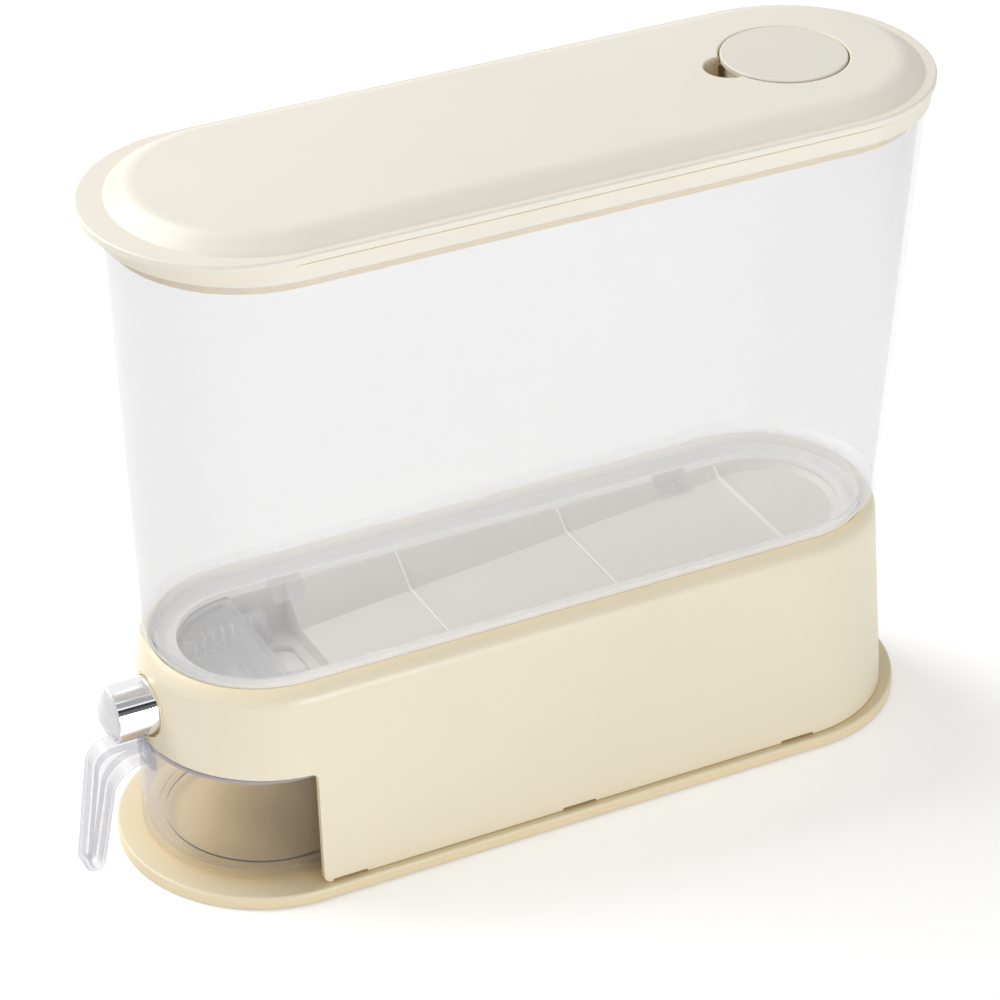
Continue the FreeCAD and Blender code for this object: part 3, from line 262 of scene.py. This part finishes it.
def blended(tree, shader, colour, share):
    """Blends the base colour that the shader has into another, by a share from none to all."""
    mix = tree.nodes.new("ShaderNodeMix")
    mix.data_type = "RGBA"
    before = shader.inputs["Base Color"].links[0].from_socket
    factor, first, second = mix.inputs[0], mix.inputs[6], mix.inputs[7]
    second.default_value = shaded(colour, 1.0)
    tree.links.new(share, factor)
    tree.links.new(before, first)
    tree.links.new(mix.outputs[2], shader.inputs["Base Color"])


def crevices(tree, reach):
    """Share of painted crevice shade, from ambient occlusion: none on open surfaces, all deep in a gap, as
    wide as a reach.
    """
    gap = tree.nodes.new("ShaderNodeAmbientOcclusion")
    gap.samples = 8
    set_inputs(gap, Distance=reach)
    return worked_out(tree, "SUBTRACT", 1.0, gap.outputs["AO"])


def moulded_plastic(name, colour, roughness=0.36, edge=0.35 * MM, soft=0.0):
    """Satin moulded plastic: faint drift of colour and gloss, fine grain, slightly rounded edges and, when
    soft, painted warm shade in crevices.
    """
    material, tree, shader = new_material(name)
    mottled(tree, shader, colour, 0.012, 14.0)
    # Painted shade: where ambient occlusion finds a crevice, the colour is darkened and warmed.
    if soft:
        crevice_shade_colour = tuple(c * w for c, w in zip(colour, CREVICE_SHADE_TINT))
        share = bpy.context.scene.dispenser_finishes.painted_crevice_shade
        blended(tree, shader, crevice_shade_colour, worked_out(tree, "MULTIPLY", crevices(tree, CREVICE_SHADE_REACH), share))
    tree.links.new(spread(tree, noise(tree, 60.0).outputs["Fac"], roughness - 0.04, roughness + 0.04),
                   shader.inputs["Roughness"])
    grained(tree, shader, 2600.0, 0.004 * MM, edge)
    set_inputs(shader, IOR=1.49)
    if soft:
        set_inputs(shader, Subsurface_Weight=soft, Subsurface_Scale=2.0 * MM,
                   Subsurface_Radius=(1.0, 0.8, 0.5))
    return material


def along_wall(tree, low, high):
    """From none to all as a wall is seen more and more along its surface."""
    facing = tree.nodes.new("ShaderNodeLayerWeight")
    set_inputs(facing, Blend=0.3)
    share = tree.nodes.new("ShaderNodeMapRange")
    set_inputs(share, From_Min=low, From_Max=high)
    tree.links.new(facing.outputs["Facing"], share.inputs["Value"])
    return share.outputs["Result"]


def place_on(tree):
    """The object's own X, Y and Z as sockets."""
    place = tree.nodes.new("ShaderNodeTexCoord")
    split = tree.nodes.new("ShaderNodeSeparateXYZ")
    tree.links.new(place.outputs["Object"], split.inputs["Vector"])
    return split.outputs


def by_height(tree, low, high, at_low, at_high):
    """A value that changes evenly between two heights."""
    change = tree.nodes.new("ShaderNodeMapRange")
    set_inputs(change, From_Min=low, From_Max=high, To_Min=at_low, To_Max=at_high)
    tree.links.new(place_on(tree)["Z"], change.inputs["Value"])
    return change.outputs["Result"]


def veiled(tree, shader, veil):
    """Sets how much a skin hides, while light on its way through is held back much less."""
    ray = tree.nodes.new("ShaderNodeLightPath")
    share = bpy.context.scene.dispenser_finishes.lets_through
    lit = worked_out(tree, "MULTIPLY", ray.outputs["Is Shadow Ray"], share)
    held = worked_out(tree, "SUBTRACT", 1.0, lit)
    tree.links.new(worked_out(tree, "MULTIPLY", held, veil), shader.inputs["Alpha"])


def frosted_plastic(name, colour, edge, veil, foot=None, roughness=0.24):
    """Clear plastic with a frost that hides part of what is behind each of its skins.

    The frost may thicken towards a foot, and there a lighter colour paints the light that the foot gathers;
    the foot is given as the heights between which it does, the veil that it reaches and that colour.
    """
    material, tree, shader = new_material(name)
    mottled(tree, shader, colour, 0.01, 9.0)
    blended(tree, shader, edge, along_wall(tree, 0.30, 0.85))
    tree.links.new(spread(tree, noise(tree, 40.0).outputs["Fac"], roughness - 0.03, roughness + 0.03),
                   shader.inputs["Roughness"])
    grained(tree, shader, 900.0, 0.003 * MM)
    set_inputs(shader, IOR=1.4)
    if foot:
        low, high, thick, foot_painted_light = foot
        veil = by_height(tree, low, high, thick, veil)
        blended(tree, shader, foot_painted_light, by_height(tree, low, high, 1.0, 0.0))
    veiled(tree, shader, veil)
    return material


def clear_plastic(name, colour, edge, veils, rim=None):
    """Clear glossy plastic: open where seen square on, denser and darker where seen along its wall.

    The veils are how much a skin hides, seen in those two ways. A rim, given as the heights between
    which it begins, the veil that it reaches and its colour, is dense all round, as light leaves a
    clear wall there.
    """
    material, tree, shader = new_material(name)
    mottled(tree, shader, colour, 0.01, 30.0)
    tree.links.new(spread(tree, noise(tree, 50.0).outputs["Fac"], 0.03, 0.07), shader.inputs["Roughness"])
    grained(tree, shader, 260.0, 0.004 * MM)
    dense = along_wall(tree, 0.20, 0.75)
    blended(tree, shader, edge, dense)
    spread_veil = tree.nodes.new("ShaderNodeMapRange")
    set_inputs(spread_veil, To_Min=veils[0], To_Max=veils[1])
    tree.links.new(dense, spread_veil.inputs["Value"])
    veil = spread_veil.outputs["Result"]
    if rim:
        low, high, thick, rim_colour = rim
        veil = worked_out(tree, "MAXIMUM", veil, by_height(tree, low, high, 0.0, thick))
        blended(tree, shader, rim_colour, by_height(tree, low, high, 0.0, 1.0))
    veiled(tree, shader, veil)
    set_inputs(shader, IOR=1.5)
    return material


def ribbed_plastic(name, colour, crest_highlight):
    """Moulded plastic with a painted highlight along the crests of its cross ribs, where they catch the
    light.
    """
    material = moulded_plastic(name, colour, 0.42)
    tree = material.node_tree
    shader = principled(tree)
    place = place_on(tree)
    on_rib = worked_out(tree, "COMPARE", place["X"], 0.0, TROUGH_HALF)
    near = [worked_out(tree, "COMPARE", place["Y"], y, TROUGH_RIB_HALF) for y in TROUGH_RIBS]
    rib_highlight_mask = worked_out(tree, "MAXIMUM", worked_out(tree, "MAXIMUM", near[0], near[1]), near[2])
    # Painted highlight on the rib crests.
    blended(tree, shader, crest_highlight, worked_out(tree, "MULTIPLY", on_rib, rib_highlight_mask))
    return material


def bright_metal(name, colour, roughness, grain_scale):
    """Plated or drawn metal with a faint unevenness in its gloss."""
    material, tree, shader = new_material(name)
    mottled(tree, shader, colour, 0.01, 80.0)
    tree.links.new(spread(tree, noise(tree, grain_scale).outputs["Fac"], roughness * 0.7, roughness * 1.3),
                   shader.inputs["Roughness"])
    grained(tree, shader, grain_scale, 0.001 * MM)
    set_inputs(shader, Metallic=1.0)
    return material


def pearly_plastic(name, colour):
    """Glossy white plastic with a clear top coat and a soft sheen."""
    material, tree, shader = new_material(name)
    mottled(tree, shader, colour, 0.02, 120.0)
    grained(tree, shader, 1500.0, 0.001 * MM, 0.3 * MM)
    set_inputs(shader, Roughness=0.22, Coat_Weight=0.6, Coat_Roughness=0.06, Metallic=0.15)
    return material


def soft_rubber(name, colour):
    """Matt rubber with a fine grain."""
    material, tree, shader = new_material(name)
    mottled(tree, shader, colour, 0.05, 300.0)
    tree.links.new(spread(tree, noise(tree, 500.0).outputs["Fac"], 0.6, 0.8), shader.inputs["Roughness"])
    grained(tree, shader, 2200.0, 0.02 * MM, 0.3 * MM)
    return material


# ---------------------------------------------------------------- pieces

def dress(material, *nodes):
    """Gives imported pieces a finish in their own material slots."""
    for name in nodes:
        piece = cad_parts[name]
        if not piece.material_slots:
            piece.data.materials.append(material)
        for slot in piece.material_slots:
            slot.material = material


def finished_piece(piece, body, slot, *nodes):
    """Rides a piece on its body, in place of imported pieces."""
    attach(piece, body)
    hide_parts(*nodes)
    return piece


def add_object(name, mesh):
    """A new object in the scene."""
    piece = bpy.data.objects.new(name, mesh)
    bpy.context.scene.collection.objects.link(piece)
    return piece


def mesh_from(name, build):
    """A mesh filled by a function of a bmesh."""
    mesh = bpy.data.meshes.new(name)
    bm = bmesh.new()
    build(bm)
    bmesh.ops.recalc_face_normals(bm, faces=bm.faces)
    bm.to_mesh(mesh)
    bm.free()
    return mesh


def turned(bm, profile, steps):
    """Turns a profile of (radius, height) about Z; the first and last points are on the axis."""
    rings = []
    for radius, height in profile[1:-1]:
        angles = [2.0 * math.pi * i / steps for i in range(steps)]
        rings.append([bm.verts.new((radius * math.cos(a), radius * math.sin(a), height)) for a in angles])
    for low, high in zip(rings, rings[1:]):
        for i in range(steps):
            j = (i + 1) % steps
            bm.faces.new((low[i], low[j], high[j], high[i]))
    for ring, (radius, height) in ((rings[0], profile[0]), (rings[-1], profile[-1])):
        pole = bm.verts.new((0.0, 0.0, height))
        for i in range(steps):
            bm.faces.new((ring[i], ring[(i + 1) % steps], pole))


# ---------------------------------------------------------------- repeated pieces, by Geometry Nodes

def node_tree(name, inputs):
    """A geometry node tree with named inputs. Returns the tree, its nodes and its links."""
    tree = bpy.data.node_groups.new(name, "GeometryNodeTree")
    tree.interface.new_socket("Geometry", in_out="INPUT", socket_type="NodeSocketGeometry")
    for label, kind, default in inputs:
        socket = tree.interface.new_socket(label, in_out="INPUT", socket_type=kind)
        if default is not None:
            socket.default_value = default
    tree.interface.new_socket("Geometry", in_out="OUTPUT", socket_type="NodeSocketGeometry")
    return tree, tree.nodes.new("NodeGroupInput"), tree.nodes.new("NodeGroupOutput")


def realised(tree, source, group_in, group_out):
    """Ends a tree in Realize Instances and Set Material."""
    real = tree.nodes.new("GeometryNodeRealizeInstances")
    paint = tree.nodes.new("GeometryNodeSetMaterial")
    tree.links.new(source, real.inputs["Geometry"])
    tree.links.new(real.outputs["Geometry"], paint.inputs["Geometry"])
    tree.links.new(group_in.outputs["Material"], paint.inputs["Material"])
    tree.links.new(paint.outputs["Geometry"], group_out.inputs["Geometry"])


def grown(name, points, tree, values):
    """The mesh that a tree grows at a list of points, as a plain object with no modifier left."""
    seed = bpy.data.meshes.new(name + "_points")
    seed.from_pydata([tuple(p) for p in points], [], [])
    piece = add_object(name, seed)
    modifier = piece.modifiers.new("Repeat", "NODES")
    modifier.node_group = tree
    keys = {i.name: i.identifier for i in tree.interface.items_tree
            if i.item_type == "SOCKET" and i.in_out == "INPUT"}
    for label, value in values.items():
        modifier[keys[label]] = value
    graph = bpy.context.evaluated_depsgraph_get()
    mesh = bpy.data.meshes.new_from_object(piece.evaluated_get(graph))
    mesh.name = name
    piece.modifiers.clear()
    piece.data = mesh
    bpy.data.meshes.remove(seed)
    return piece


def copies_tree():
    """Puts a turned copy of one part at each point."""
    tree, group_in, group_out = node_tree("Repeated_parts", [
        ("Part", "NodeSocketObject", None), ("Turn", "NodeSocketVector", (0.0, 0.0, 0.0)),
        ("Material", "NodeSocketMaterial", None)])
    part = tree.nodes.new("GeometryNodeObjectInfo")
    copy = tree.nodes.new("GeometryNodeInstanceOnPoints")
    tree.links.new(group_in.outputs["Part"], part.inputs["Object"])
    tree.links.new(group_in.outputs["Geometry"], copy.inputs["Points"])
    tree.links.new(part.outputs["Geometry"], copy.inputs["Instance"])
    tree.links.new(group_in.outputs["Turn"], copy.inputs["Rotation"])
    realised(tree, copy.outputs["Instances"], group_in, group_out)
    return tree


def coils_tree():
    """Puts a wound spring, its axis along Y, at each point."""
    tree, group_in, group_out = node_tree("Wound_springs", [
        ("Radius", "NodeSocketFloat", 5.0 * MM), ("Wire", "NodeSocketFloat", 0.5 * MM),
        ("Turns", "NodeSocketFloat", 8.0), ("Length", "NodeSocketFloat", 40.0 * MM),
        ("Material", "NodeSocketMaterial", None)])
    coil = tree.nodes.new("GeometryNodeCurveSpiral")
    section = tree.nodes.new("GeometryNodeCurvePrimitiveCircle")
    sweep = tree.nodes.new("GeometryNodeCurveToMesh")
    lay = tree.nodes.new("GeometryNodeTransform")
    copy = tree.nodes.new("GeometryNodeInstanceOnPoints")
    set_inputs(coil, Resolution=36)
    set_inputs(section, Resolution=12)
    set_inputs(sweep, Fill_Caps=True)
    set_inputs(lay, Rotation=(-math.pi / 2.0, 0.0, 0.0))
    for label, socket in (("Radius", coil.inputs["Start Radius"]), ("Radius", coil.inputs["End Radius"]),
                          ("Turns", coil.inputs["Rotations"]), ("Length", coil.inputs["Height"]),
                          ("Wire", section.inputs["Radius"]), ("Geometry", copy.inputs["Points"])):
        tree.links.new(group_in.outputs[label], socket)
    tree.links.new(coil.outputs["Curve"], sweep.inputs["Curve"])
    tree.links.new(section.outputs["Curve"], sweep.inputs["Profile Curve"])
    tree.links.new(sweep.outputs["Mesh"], lay.inputs["Geometry"])
    tree.links.new(lay.outputs["Geometry"], copy.inputs["Instance"])
    realised(tree, copy.outputs["Instances"], group_in, group_out)
    return tree


def loose_boxes(node):
    """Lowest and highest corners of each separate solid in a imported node, from front to rear."""
    bm = bmesh.new()
    bm.from_mesh(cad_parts[node].data)
    bmesh.ops.remove_doubles(bm, verts=bm.verts, dist=0.001 * MM)
    left = set(bm.verts)
    boxes = []
    while left:
        island = [left.pop()]
        for vert in island:
            for edge in vert.link_edges:
                other = edge.other_vert(vert)
                if other in left:
                    left.remove(other)
                    island.append(other)
        low = Vector(min(v.co[i] for v in island) for i in range(3))
        high = Vector(max(v.co[i] for v in island) for i in range(3))
        boxes.append((low, high))
    bm.free()
    return sorted(boxes, key=lambda box: (round(box[0].y, 5), box[0].x))


def threaded_profile(head_radius, head_height, length, sizes):
    """Outline of a pan-head screw from its head to its tip, with the head's seat at height 0."""
    shank, core, pitch = sizes.shank, sizes.core, sizes.pitch
    outline = [(0.0, -head_height), (head_radius * 0.75, -head_height),
               (head_radius * 0.94, -head_height * 0.8), (head_radius, -head_height * 0.5),
               (head_radius, 0.0), (core, 0.0)]
    turns = int((length - 2.0 * pitch) / pitch)
    for i in range(turns):
        height = pitch * (i + 0.4)
        outline += [(core, height), (shank, height + 0.35 * pitch), (core, height + 0.7 * pitch)]
    return outline + [(core, length - 1.2 * pitch), (0.0, length)]


def cross_prism(bm, arm, depth, top):
    """Two crossed bars that cut a screw head's recess."""
    half = arm * 0.24
    for x, y in ((arm, half), (half, arm)):
        shape = Matrix.Translation((0, 0, top)) @ Matrix.Diagonal((x, y, depth, 1.0))
        bar = bmesh.ops.create_cube(bm, size=2.0, matrix=shape)
        for vert in bar["verts"]:
            if vert.co.z > top:
                vert.co.x *= 0.6
                vert.co.y *= 0.6


def screw_part(name, head_radius, head_height, length, sizes):
    """One screw about the Z axis, with a cross recess in its head."""
    steps = 32
    profile = threaded_profile(head_radius, head_height, length, sizes)
    part = add_object(name, mesh_from(name, lambda bm: turned(bm, profile, steps)))
    arm = min(sizes.recess, head_radius * 0.6)
    cutter = add_object(name + "_recess", mesh_from(
        name + "_recess", lambda bm: cross_prism(bm, arm, head_height * 0.7, -head_height)))
    cut = part.modifiers.new("Recess", "BOOLEAN")
    cut.operation = "DIFFERENCE"
    cut.solver = "EXACT"
    cut.use_self = True
    cut.object = cutter
    graph = bpy.context.evaluated_depsgraph_get()
    mesh = bpy.data.meshes.new_from_object(part.evaluated_get(graph))
    part.modifiers.clear()
    part.data = mesh
    bpy.data.objects.remove(cutter)
    return part


def screws_in(node, head_height, turn, axis, name, body, material):
    """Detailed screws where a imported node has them, with heads that face against their axis.

    The axis is 0 for X, 1 for Y and 2 for Z.
    """
    sizes = bpy.context.scene.dispenser_screws
    boxes = loose_boxes(node)
    low, high = boxes[0]
    across = (axis + 1) % 3
    head_radius = (high[across] - low[across]) / 2.0
    length = high[axis] - low[axis] - head_height
    part = screw_part(name + "_part", head_radius, head_height, length, sizes)
    points = []
    for low, high in boxes:
        seat = (low + high) / 2.0
        seat[axis] = low[axis] + head_height if turn[0] == 0.0 else high[axis] - head_height
        points.append(seat)
    piece = grown(name, points, bpy.data.node_groups.get("Repeated_parts") or copies_tree(),
                  {"Part": part, "Turn": turn, "Material": material})
    bpy.data.objects.remove(part)
    return finished_piece(piece, body, "screw_steel", node)


# ---------------------------------------------------------------- operators

class DISPENSER_OT_cream_shells(bpy.types.Operator):
    """Finish the moulded cream shells: housing, base plate, bay liner, hopper, lid and its cap"""
    bl_idname = "dispenser.cream_shells"
    bl_label = "Cream shells"

    def execute(self, context):
        colours = context.scene.dispenser_finishes
        # The housing, base plate, desiccant box and lid get painted warm shade in their crevices.
        dress(moulded_plastic("Moulded_cream", colours.cream, soft=CREAM_SOFTNESS),
              "housing_shell", "button_bush")
        # Painted warm shade in the base colour, on the plate and the desiccant box in the lid's notch.
        dress(moulded_plastic("Moulded_base", colours.base, soft=CREAM_SOFTNESS),
              "base_plate", "desiccant_box")
        # Painted warm shade and light in the bay's colour.
        dress(moulded_plastic("Moulded_bay", colours.bay, 0.42), "bay_liner")
        dress(moulded_plastic("Moulded_lid", colours.lid, soft=CREAM_SOFTNESS), "lid_panel", "lid_frame")
        dress(ribbed_plastic("Moulded_hopper", colours.hopper, colours.hopper_rib_highlight), "hopper_tray")
        dress(moulded_plastic("Moulded_cap", colours.cap, 0.40), "desiccant_cap")
        return {"FINISHED"}


class DISPENSER_OT_bin(bpy.types.Operator):
    """Finish the frosted bin and its tongues"""
    bl_idname = "dispenser.bin"
    bl_label = "Bin"

    def execute(self, context):
        colours = context.scene.dispenser_finishes
        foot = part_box("housing_shell")[1].z
        # A thicker veil at the foot, with painted light in its lighter colour.
        thick_foot_and_painted_light = (foot, foot + FOOT_RISE, FOOT_VEIL, colours.bin_foot_painted_light)
        wall, edge = colours.bin, colours.bin_edge
        dress(frosted_plastic("Frosted_bin", wall, edge, colours.bin_veil, thick_foot_and_painted_light), "bin_tank")
        dress(frosted_plastic("Frosted_tongues", wall, edge, colours.guard_veil), "bin_tongues")
        return {"FINISHED"}


class DISPENSER_OT_cup(bpy.types.Operator):
    """Finish the clear measuring cup and its handle"""
    bl_idname = "dispenser.cup"
    bl_label = "Cup"

    def execute(self, context):
        colours = context.scene.dispenser_finishes
        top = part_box("cup_body")[1].z
        rim = (top - CUP_RIM[0], top - CUP_RIM[1], RIM_VEIL, colours.clear_edge)
        dress(clear_plastic("Clear_cup", colours.cup, colours.cup_edge, CUP_VEIL, rim), "cup_body")
        dress(clear_plastic("Clear_handle", colours.handle, colours.clear_edge, HANDLE_VEIL), "cup_handle")
        return {"FINISHED"}


class DISPENSER_OT_button(bpy.types.Operator):
    """Finish the plated button, its pearly cap and the push rod"""
    bl_idname = "dispenser.button"
    bl_label = "Button"

    def execute(self, context):
        colours = context.scene.dispenser_finishes
        dress(bright_metal("Plated_sleeve", colours.chrome, 0.06, 900.0), "button_sleeve")
        dress(pearly_plastic("Pearl_cap", colours.pearl), "button_cap")
        dress(moulded_plastic("Moulded_rod", colours.acetal, 0.45), "push_rod")
        return {"FINISHED"}


class DISPENSER_OT_gate(bpy.types.Operator):
    """Finish the gate, its rails, the outlet chute and the frosted mechanism guard"""
    bl_idname = "dispenser.gate"
    bl_label = "Gate and chute"

    def execute(self, context):
        colours = context.scene.dispenser_finishes
        acetal = moulded_plastic("Moulded_acetal", colours.acetal, 0.45)
        dress(acetal, "gate_slider", "gate_rails", "outlet_chute")
        frost = frosted_plastic("Frosted_guard", colours.bin, colours.bin_edge, colours.guard_veil)
        dress(frost, "mechanism_guard")
        return {"FINISHED"}


class DISPENSER_OT_rubber(bpy.types.Operator):
    """Finish the seals and the pads under the base plate"""
    bl_idname = "dispenser.rubber"
    bl_label = "Seals and pads"

    def execute(self, context):
        colours = context.scene.dispenser_finishes
        dress(soft_rubber("Seal_silicone", colours.silicone), "bin_seal", "lid_seal", "desiccant_seal")
        dress(soft_rubber("Pad_rubber", colours.rubber), "foot_pads")
        return {"FINISHED"}


class DISPENSER_OT_springs(bpy.types.Operator):
    """Wind the two return springs at a fixed length; the real ones shorten as the button goes in"""
    bl_idname = "dispenser.springs"
    bl_label = "Return springs"

    def execute(self, context):
        sizes = context.scene.dispenser_springs
        low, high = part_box("return_springs")
        reach = sizes.radius + sizes.wire
        length = high.y - low.y - 2.0 * sizes.wire
        middle = (low.z + high.z) / 2.0
        points = [(x, low.y + sizes.wire, middle) for x in (low.x + reach, high.x - reach)]
        wire = bright_metal("Spring_wire", context.scene.dispenser_finishes.steel, 0.3, 1500.0)
        springs = grown("wound_springs", points, coils_tree(),
                        {"Radius": sizes.radius, "Wire": sizes.wire, "Turns": sizes.turns, "Length": length,
                         "Material": wire})
        springs.data.shade_smooth()
        finished_piece(springs, "stand", "spring_steel", "return_springs")
        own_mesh(springs)
        return {"FINISHED"}


class DISPENSER_OT_screws(bpy.types.Operator):
    """Make the self-tapping screws of the base plate, the hopper tray and the push rod"""
    bl_idname = "dispenser.screws"
    bl_label = "Screws"

    def execute(self, context):
        steel = bright_metal("Screw_steel", context.scene.dispenser_finishes.steel, 0.32, 1800.0)
        upright, hanging, forward = (0.0, 0.0, 0.0), (math.pi, 0.0, 0.0), (math.pi / 2.0, 0.0, 0.0)
        screws_in("base_screws", SCREW_HEAD, upright, 2, "base_screw_set", "stand", steel)
        screws_in("tray_screws", SCREW_HEAD, hanging, 2, "tray_screw_set", "stand", steel)
        screws_in("rod_screw", ROD_SCREW_HEAD, forward, 1, "yoke_screw", "button", steel)
        return {"FINISHED"}


def aimed(place, target):
    """Matrix at a place whose -Z looks at a target."""
    turn = (Vector(target) - Vector(place)).to_track_quat("-Z", "Y")
    return Matrix.Translation(place) @ turn.to_matrix().to_4x4()


def add_lamp(name, place, size, power):
    """A square soft lamp that looks at the middle of the object."""
    lamp = bpy.data.lights.new(name, "AREA")
    lamp.size = size
    lamp.energy = power
    piece = add_object(name, lamp)
    piece.matrix_world = aimed(place, LAMPS_LOOK_AT)
    return piece


def seen_directly(tree):
    """All for rays from the camera, a mirror or a clear wall, and none for light that bounces."""
    ray = tree.nodes.new("ShaderNodeLightPath")
    seen = ray.outputs["Is Camera Ray"]
    for label in ("Is Glossy Ray", "Is Transmission Ray"):
        seen = worked_out(tree, "MAXIMUM", seen, ray.outputs[label])
    return seen


def floor_material(lift):
    """Matt white floor, which the camera and mirrors see a little lighter than it lights the object."""
    material, tree, shader = new_material("White_floor")
    mottled(tree, shader, (0.94, 0.94, 0.94), 0.004, 2.0)
    set_inputs(shader, Roughness=0.9, Specular_IOR_Level=0.1, Emission_Color=(1.0, 1.0, 1.0, 1.0))
    seen = worked_out(tree, "MULTIPLY", seen_directly(tree), lift)
    tree.links.new(seen, shader.inputs["Emission Strength"])
    return material


def dark_card(name, place, target, length, breadth, shade):
    """A dark card that only mirrors see, for a dark streak along the plated sleeve."""
    card = add_object(name, mesh_from(name, lambda bm: bmesh.ops.create_grid(
        bm, x_segments=1, y_segments=1, size=0.5, matrix=Matrix.Diagonal((length, breadth, 1.0, 1.0)))))
    back = (Vector(place) - Vector(target)).normalized()
    along = (Vector((0.0, 1.0, 0.0)) - back * back.y).normalized()
    turn = Matrix((along, back.cross(along), back)).transposed().to_4x4()
    card.matrix_world = Matrix.Translation(place) @ turn
    material, tree, shader = new_material(name)
    set_inputs(shader, Base_Color=(shade, shade, shade, 1.0), Roughness=0.9, Specular_IOR_Level=0.0)
    card.data.materials.append(material)
    card.visible_camera = card.visible_diffuse = card.visible_shadow = card.visible_transmission = False
    return card


def camera_matrix(settings):
    """Camera's place and its turn from azimuth, elevation and roll."""
    az, el, roll = settings.azimuth, settings.elevation, settings.roll
    back = Vector((math.sin(az) * math.cos(el), -math.cos(az) * math.cos(el), math.sin(el)))
    level = Vector((math.cos(az), math.sin(az), 0.0))
    rise = back.cross(level)
    right = level * math.cos(roll) + rise * math.sin(roll)
    up = rise * math.cos(roll) - level * math.sin(roll)
    turn = Matrix((right, up, back)).transposed().to_4x4()
    return Matrix.Translation(settings.camera_place) @ turn


def pale_world(strength):
    """Even soft light, with white where the camera or a mirror looks past the floor."""
    world = bpy.data.worlds.new("Pale_room")
    world.use_nodes = True
    tree = world.node_tree
    output = next(n for n in tree.nodes if n.type == "OUTPUT_WORLD")
    light = next(n for n in tree.nodes if n.type == "BACKGROUND")
    set_inputs(light, Color=(1.0, 1.0, 1.0, 1.0), Strength=strength)
    white = tree.nodes.new("ShaderNodeBackground")
    set_inputs(white, Color=(1.0, 1.0, 1.0, 1.0), Strength=1.0)
    mix = tree.nodes.new("ShaderNodeMixShader")
    tree.links.new(seen_directly(tree), mix.inputs["Fac"])
    tree.links.new(light.outputs["Background"], mix.inputs[1])
    tree.links.new(white.outputs["Background"], mix.inputs[2])
    tree.links.new(mix.outputs["Shader"], output.inputs["Surface"])
    return world


# name, place from the sleeve's middle, breadth and shade of what the plated sleeve reflects
REFLECTION_CARDS = (("dark_card", (0.90, 0.47, 0.64), 0.24, 0.05),
                    ("low_card", (0.99, 0.49, 0.44), 0.30, 0.16),
                    ("high_card", (0.62, 0.36, 0.98), 0.40, 0.45))


class DISPENSER_OT_stage(bpy.types.Operator):
    """Set up the floor, the soft light and the camera"""
    bl_idname = "dispenser.stage"
    bl_label = "Stage"

    def execute(self, context):
        settings = context.scene.dispenser_stage
        floor = add_object("floor", mesh_from("floor", lambda bm: bmesh.ops.create_grid(
            bm, x_segments=1, y_segments=1, size=FLOOR_HALF)))
        floor.data.materials.append(floor_material(settings.floor_lift))
        add_lamp("key_lamp", (-1.3, -1.0, 1.8), 1.6, settings.key)
        add_lamp("fill_lamp", (1.88, 0.3, 0.34), 0.6, settings.fill)
        front = add_lamp("front_lamp", (0.9, -1.6, 0.35), 0.5, settings.front)
        front.visible_glossy = False
        low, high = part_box("button_sleeve")
        sleeve = (low + high) / 2.0
        for name, offset, breadth, shade in REFLECTION_CARDS:
            dark_card(name, sleeve + Vector(offset), sleeve, CARD_LENGTH, breadth, shade)
        context.scene.world = pale_world(settings.sky)
        lens = bpy.data.cameras.new("camera")
        lens.lens = settings.lens
        lens.clip_start = 0.05
        camera = add_object("camera", lens)
        camera.matrix_world = camera_matrix(settings)
        context.scene.camera = camera
        context.scene.view_settings.view_transform = "Standard"
        return {"FINISHED"}


STEPS = (DISPENSER_OT_cream_shells, DISPENSER_OT_bin, DISPENSER_OT_cup, DISPENSER_OT_button,
         DISPENSER_OT_gate, DISPENSER_OT_rubber, DISPENSER_OT_springs, DISPENSER_OT_screws,
         DISPENSER_OT_stage)
SETTINGS = {"dispenser_finishes": DispenserFinishes, "dispenser_springs": DispenserSprings,
            "dispenser_screws": DispenserScrews, "dispenser_stage": DispenserStage}


class DISPENSER_PT_panel(bpy.types.Panel):
    """Settings and steps of the dispenser, in the 3D view's sidebar"""
    bl_idname = "DISPENSER_PT_panel"
    bl_label = "Rice dispenser"
    bl_space_type = "VIEW_3D"
    bl_region_type = "UI"
    bl_category = "Dispenser"

    def draw(self, context):
        for holder, group in SETTINGS.items():
            section = self.layout.box()
            for key in group.__annotations__:
                section.prop(getattr(context.scene, holder), key)
        for step in STEPS:
            self.layout.operator(step.bl_idname)


def register():
    """Registers the settings, the operators and the panel."""
    for holder, group in SETTINGS.items():
        bpy.utils.register_class(group)
        setattr(bpy.types.Scene, holder, bpy.props.PointerProperty(type=group))
    for step in STEPS:
        bpy.utils.register_class(step)
    bpy.utils.register_class(DISPENSER_PT_panel)


def unregister():
    """Takes back what register added."""
    bpy.utils.unregister_class(DISPENSER_PT_panel)
    for step in reversed(STEPS):
        bpy.utils.unregister_class(step)
    for holder, group in SETTINGS.items():
        delattr(bpy.types.Scene, holder)
        bpy.utils.unregister_class(group)


def main():
    """Makes the whole scene."""
    register()
    for step in STEPS:
        family, action = step.bl_idname.split(".")
        getattr(getattr(bpy.ops, family), action)()


if __name__ == "__main__":
    main()
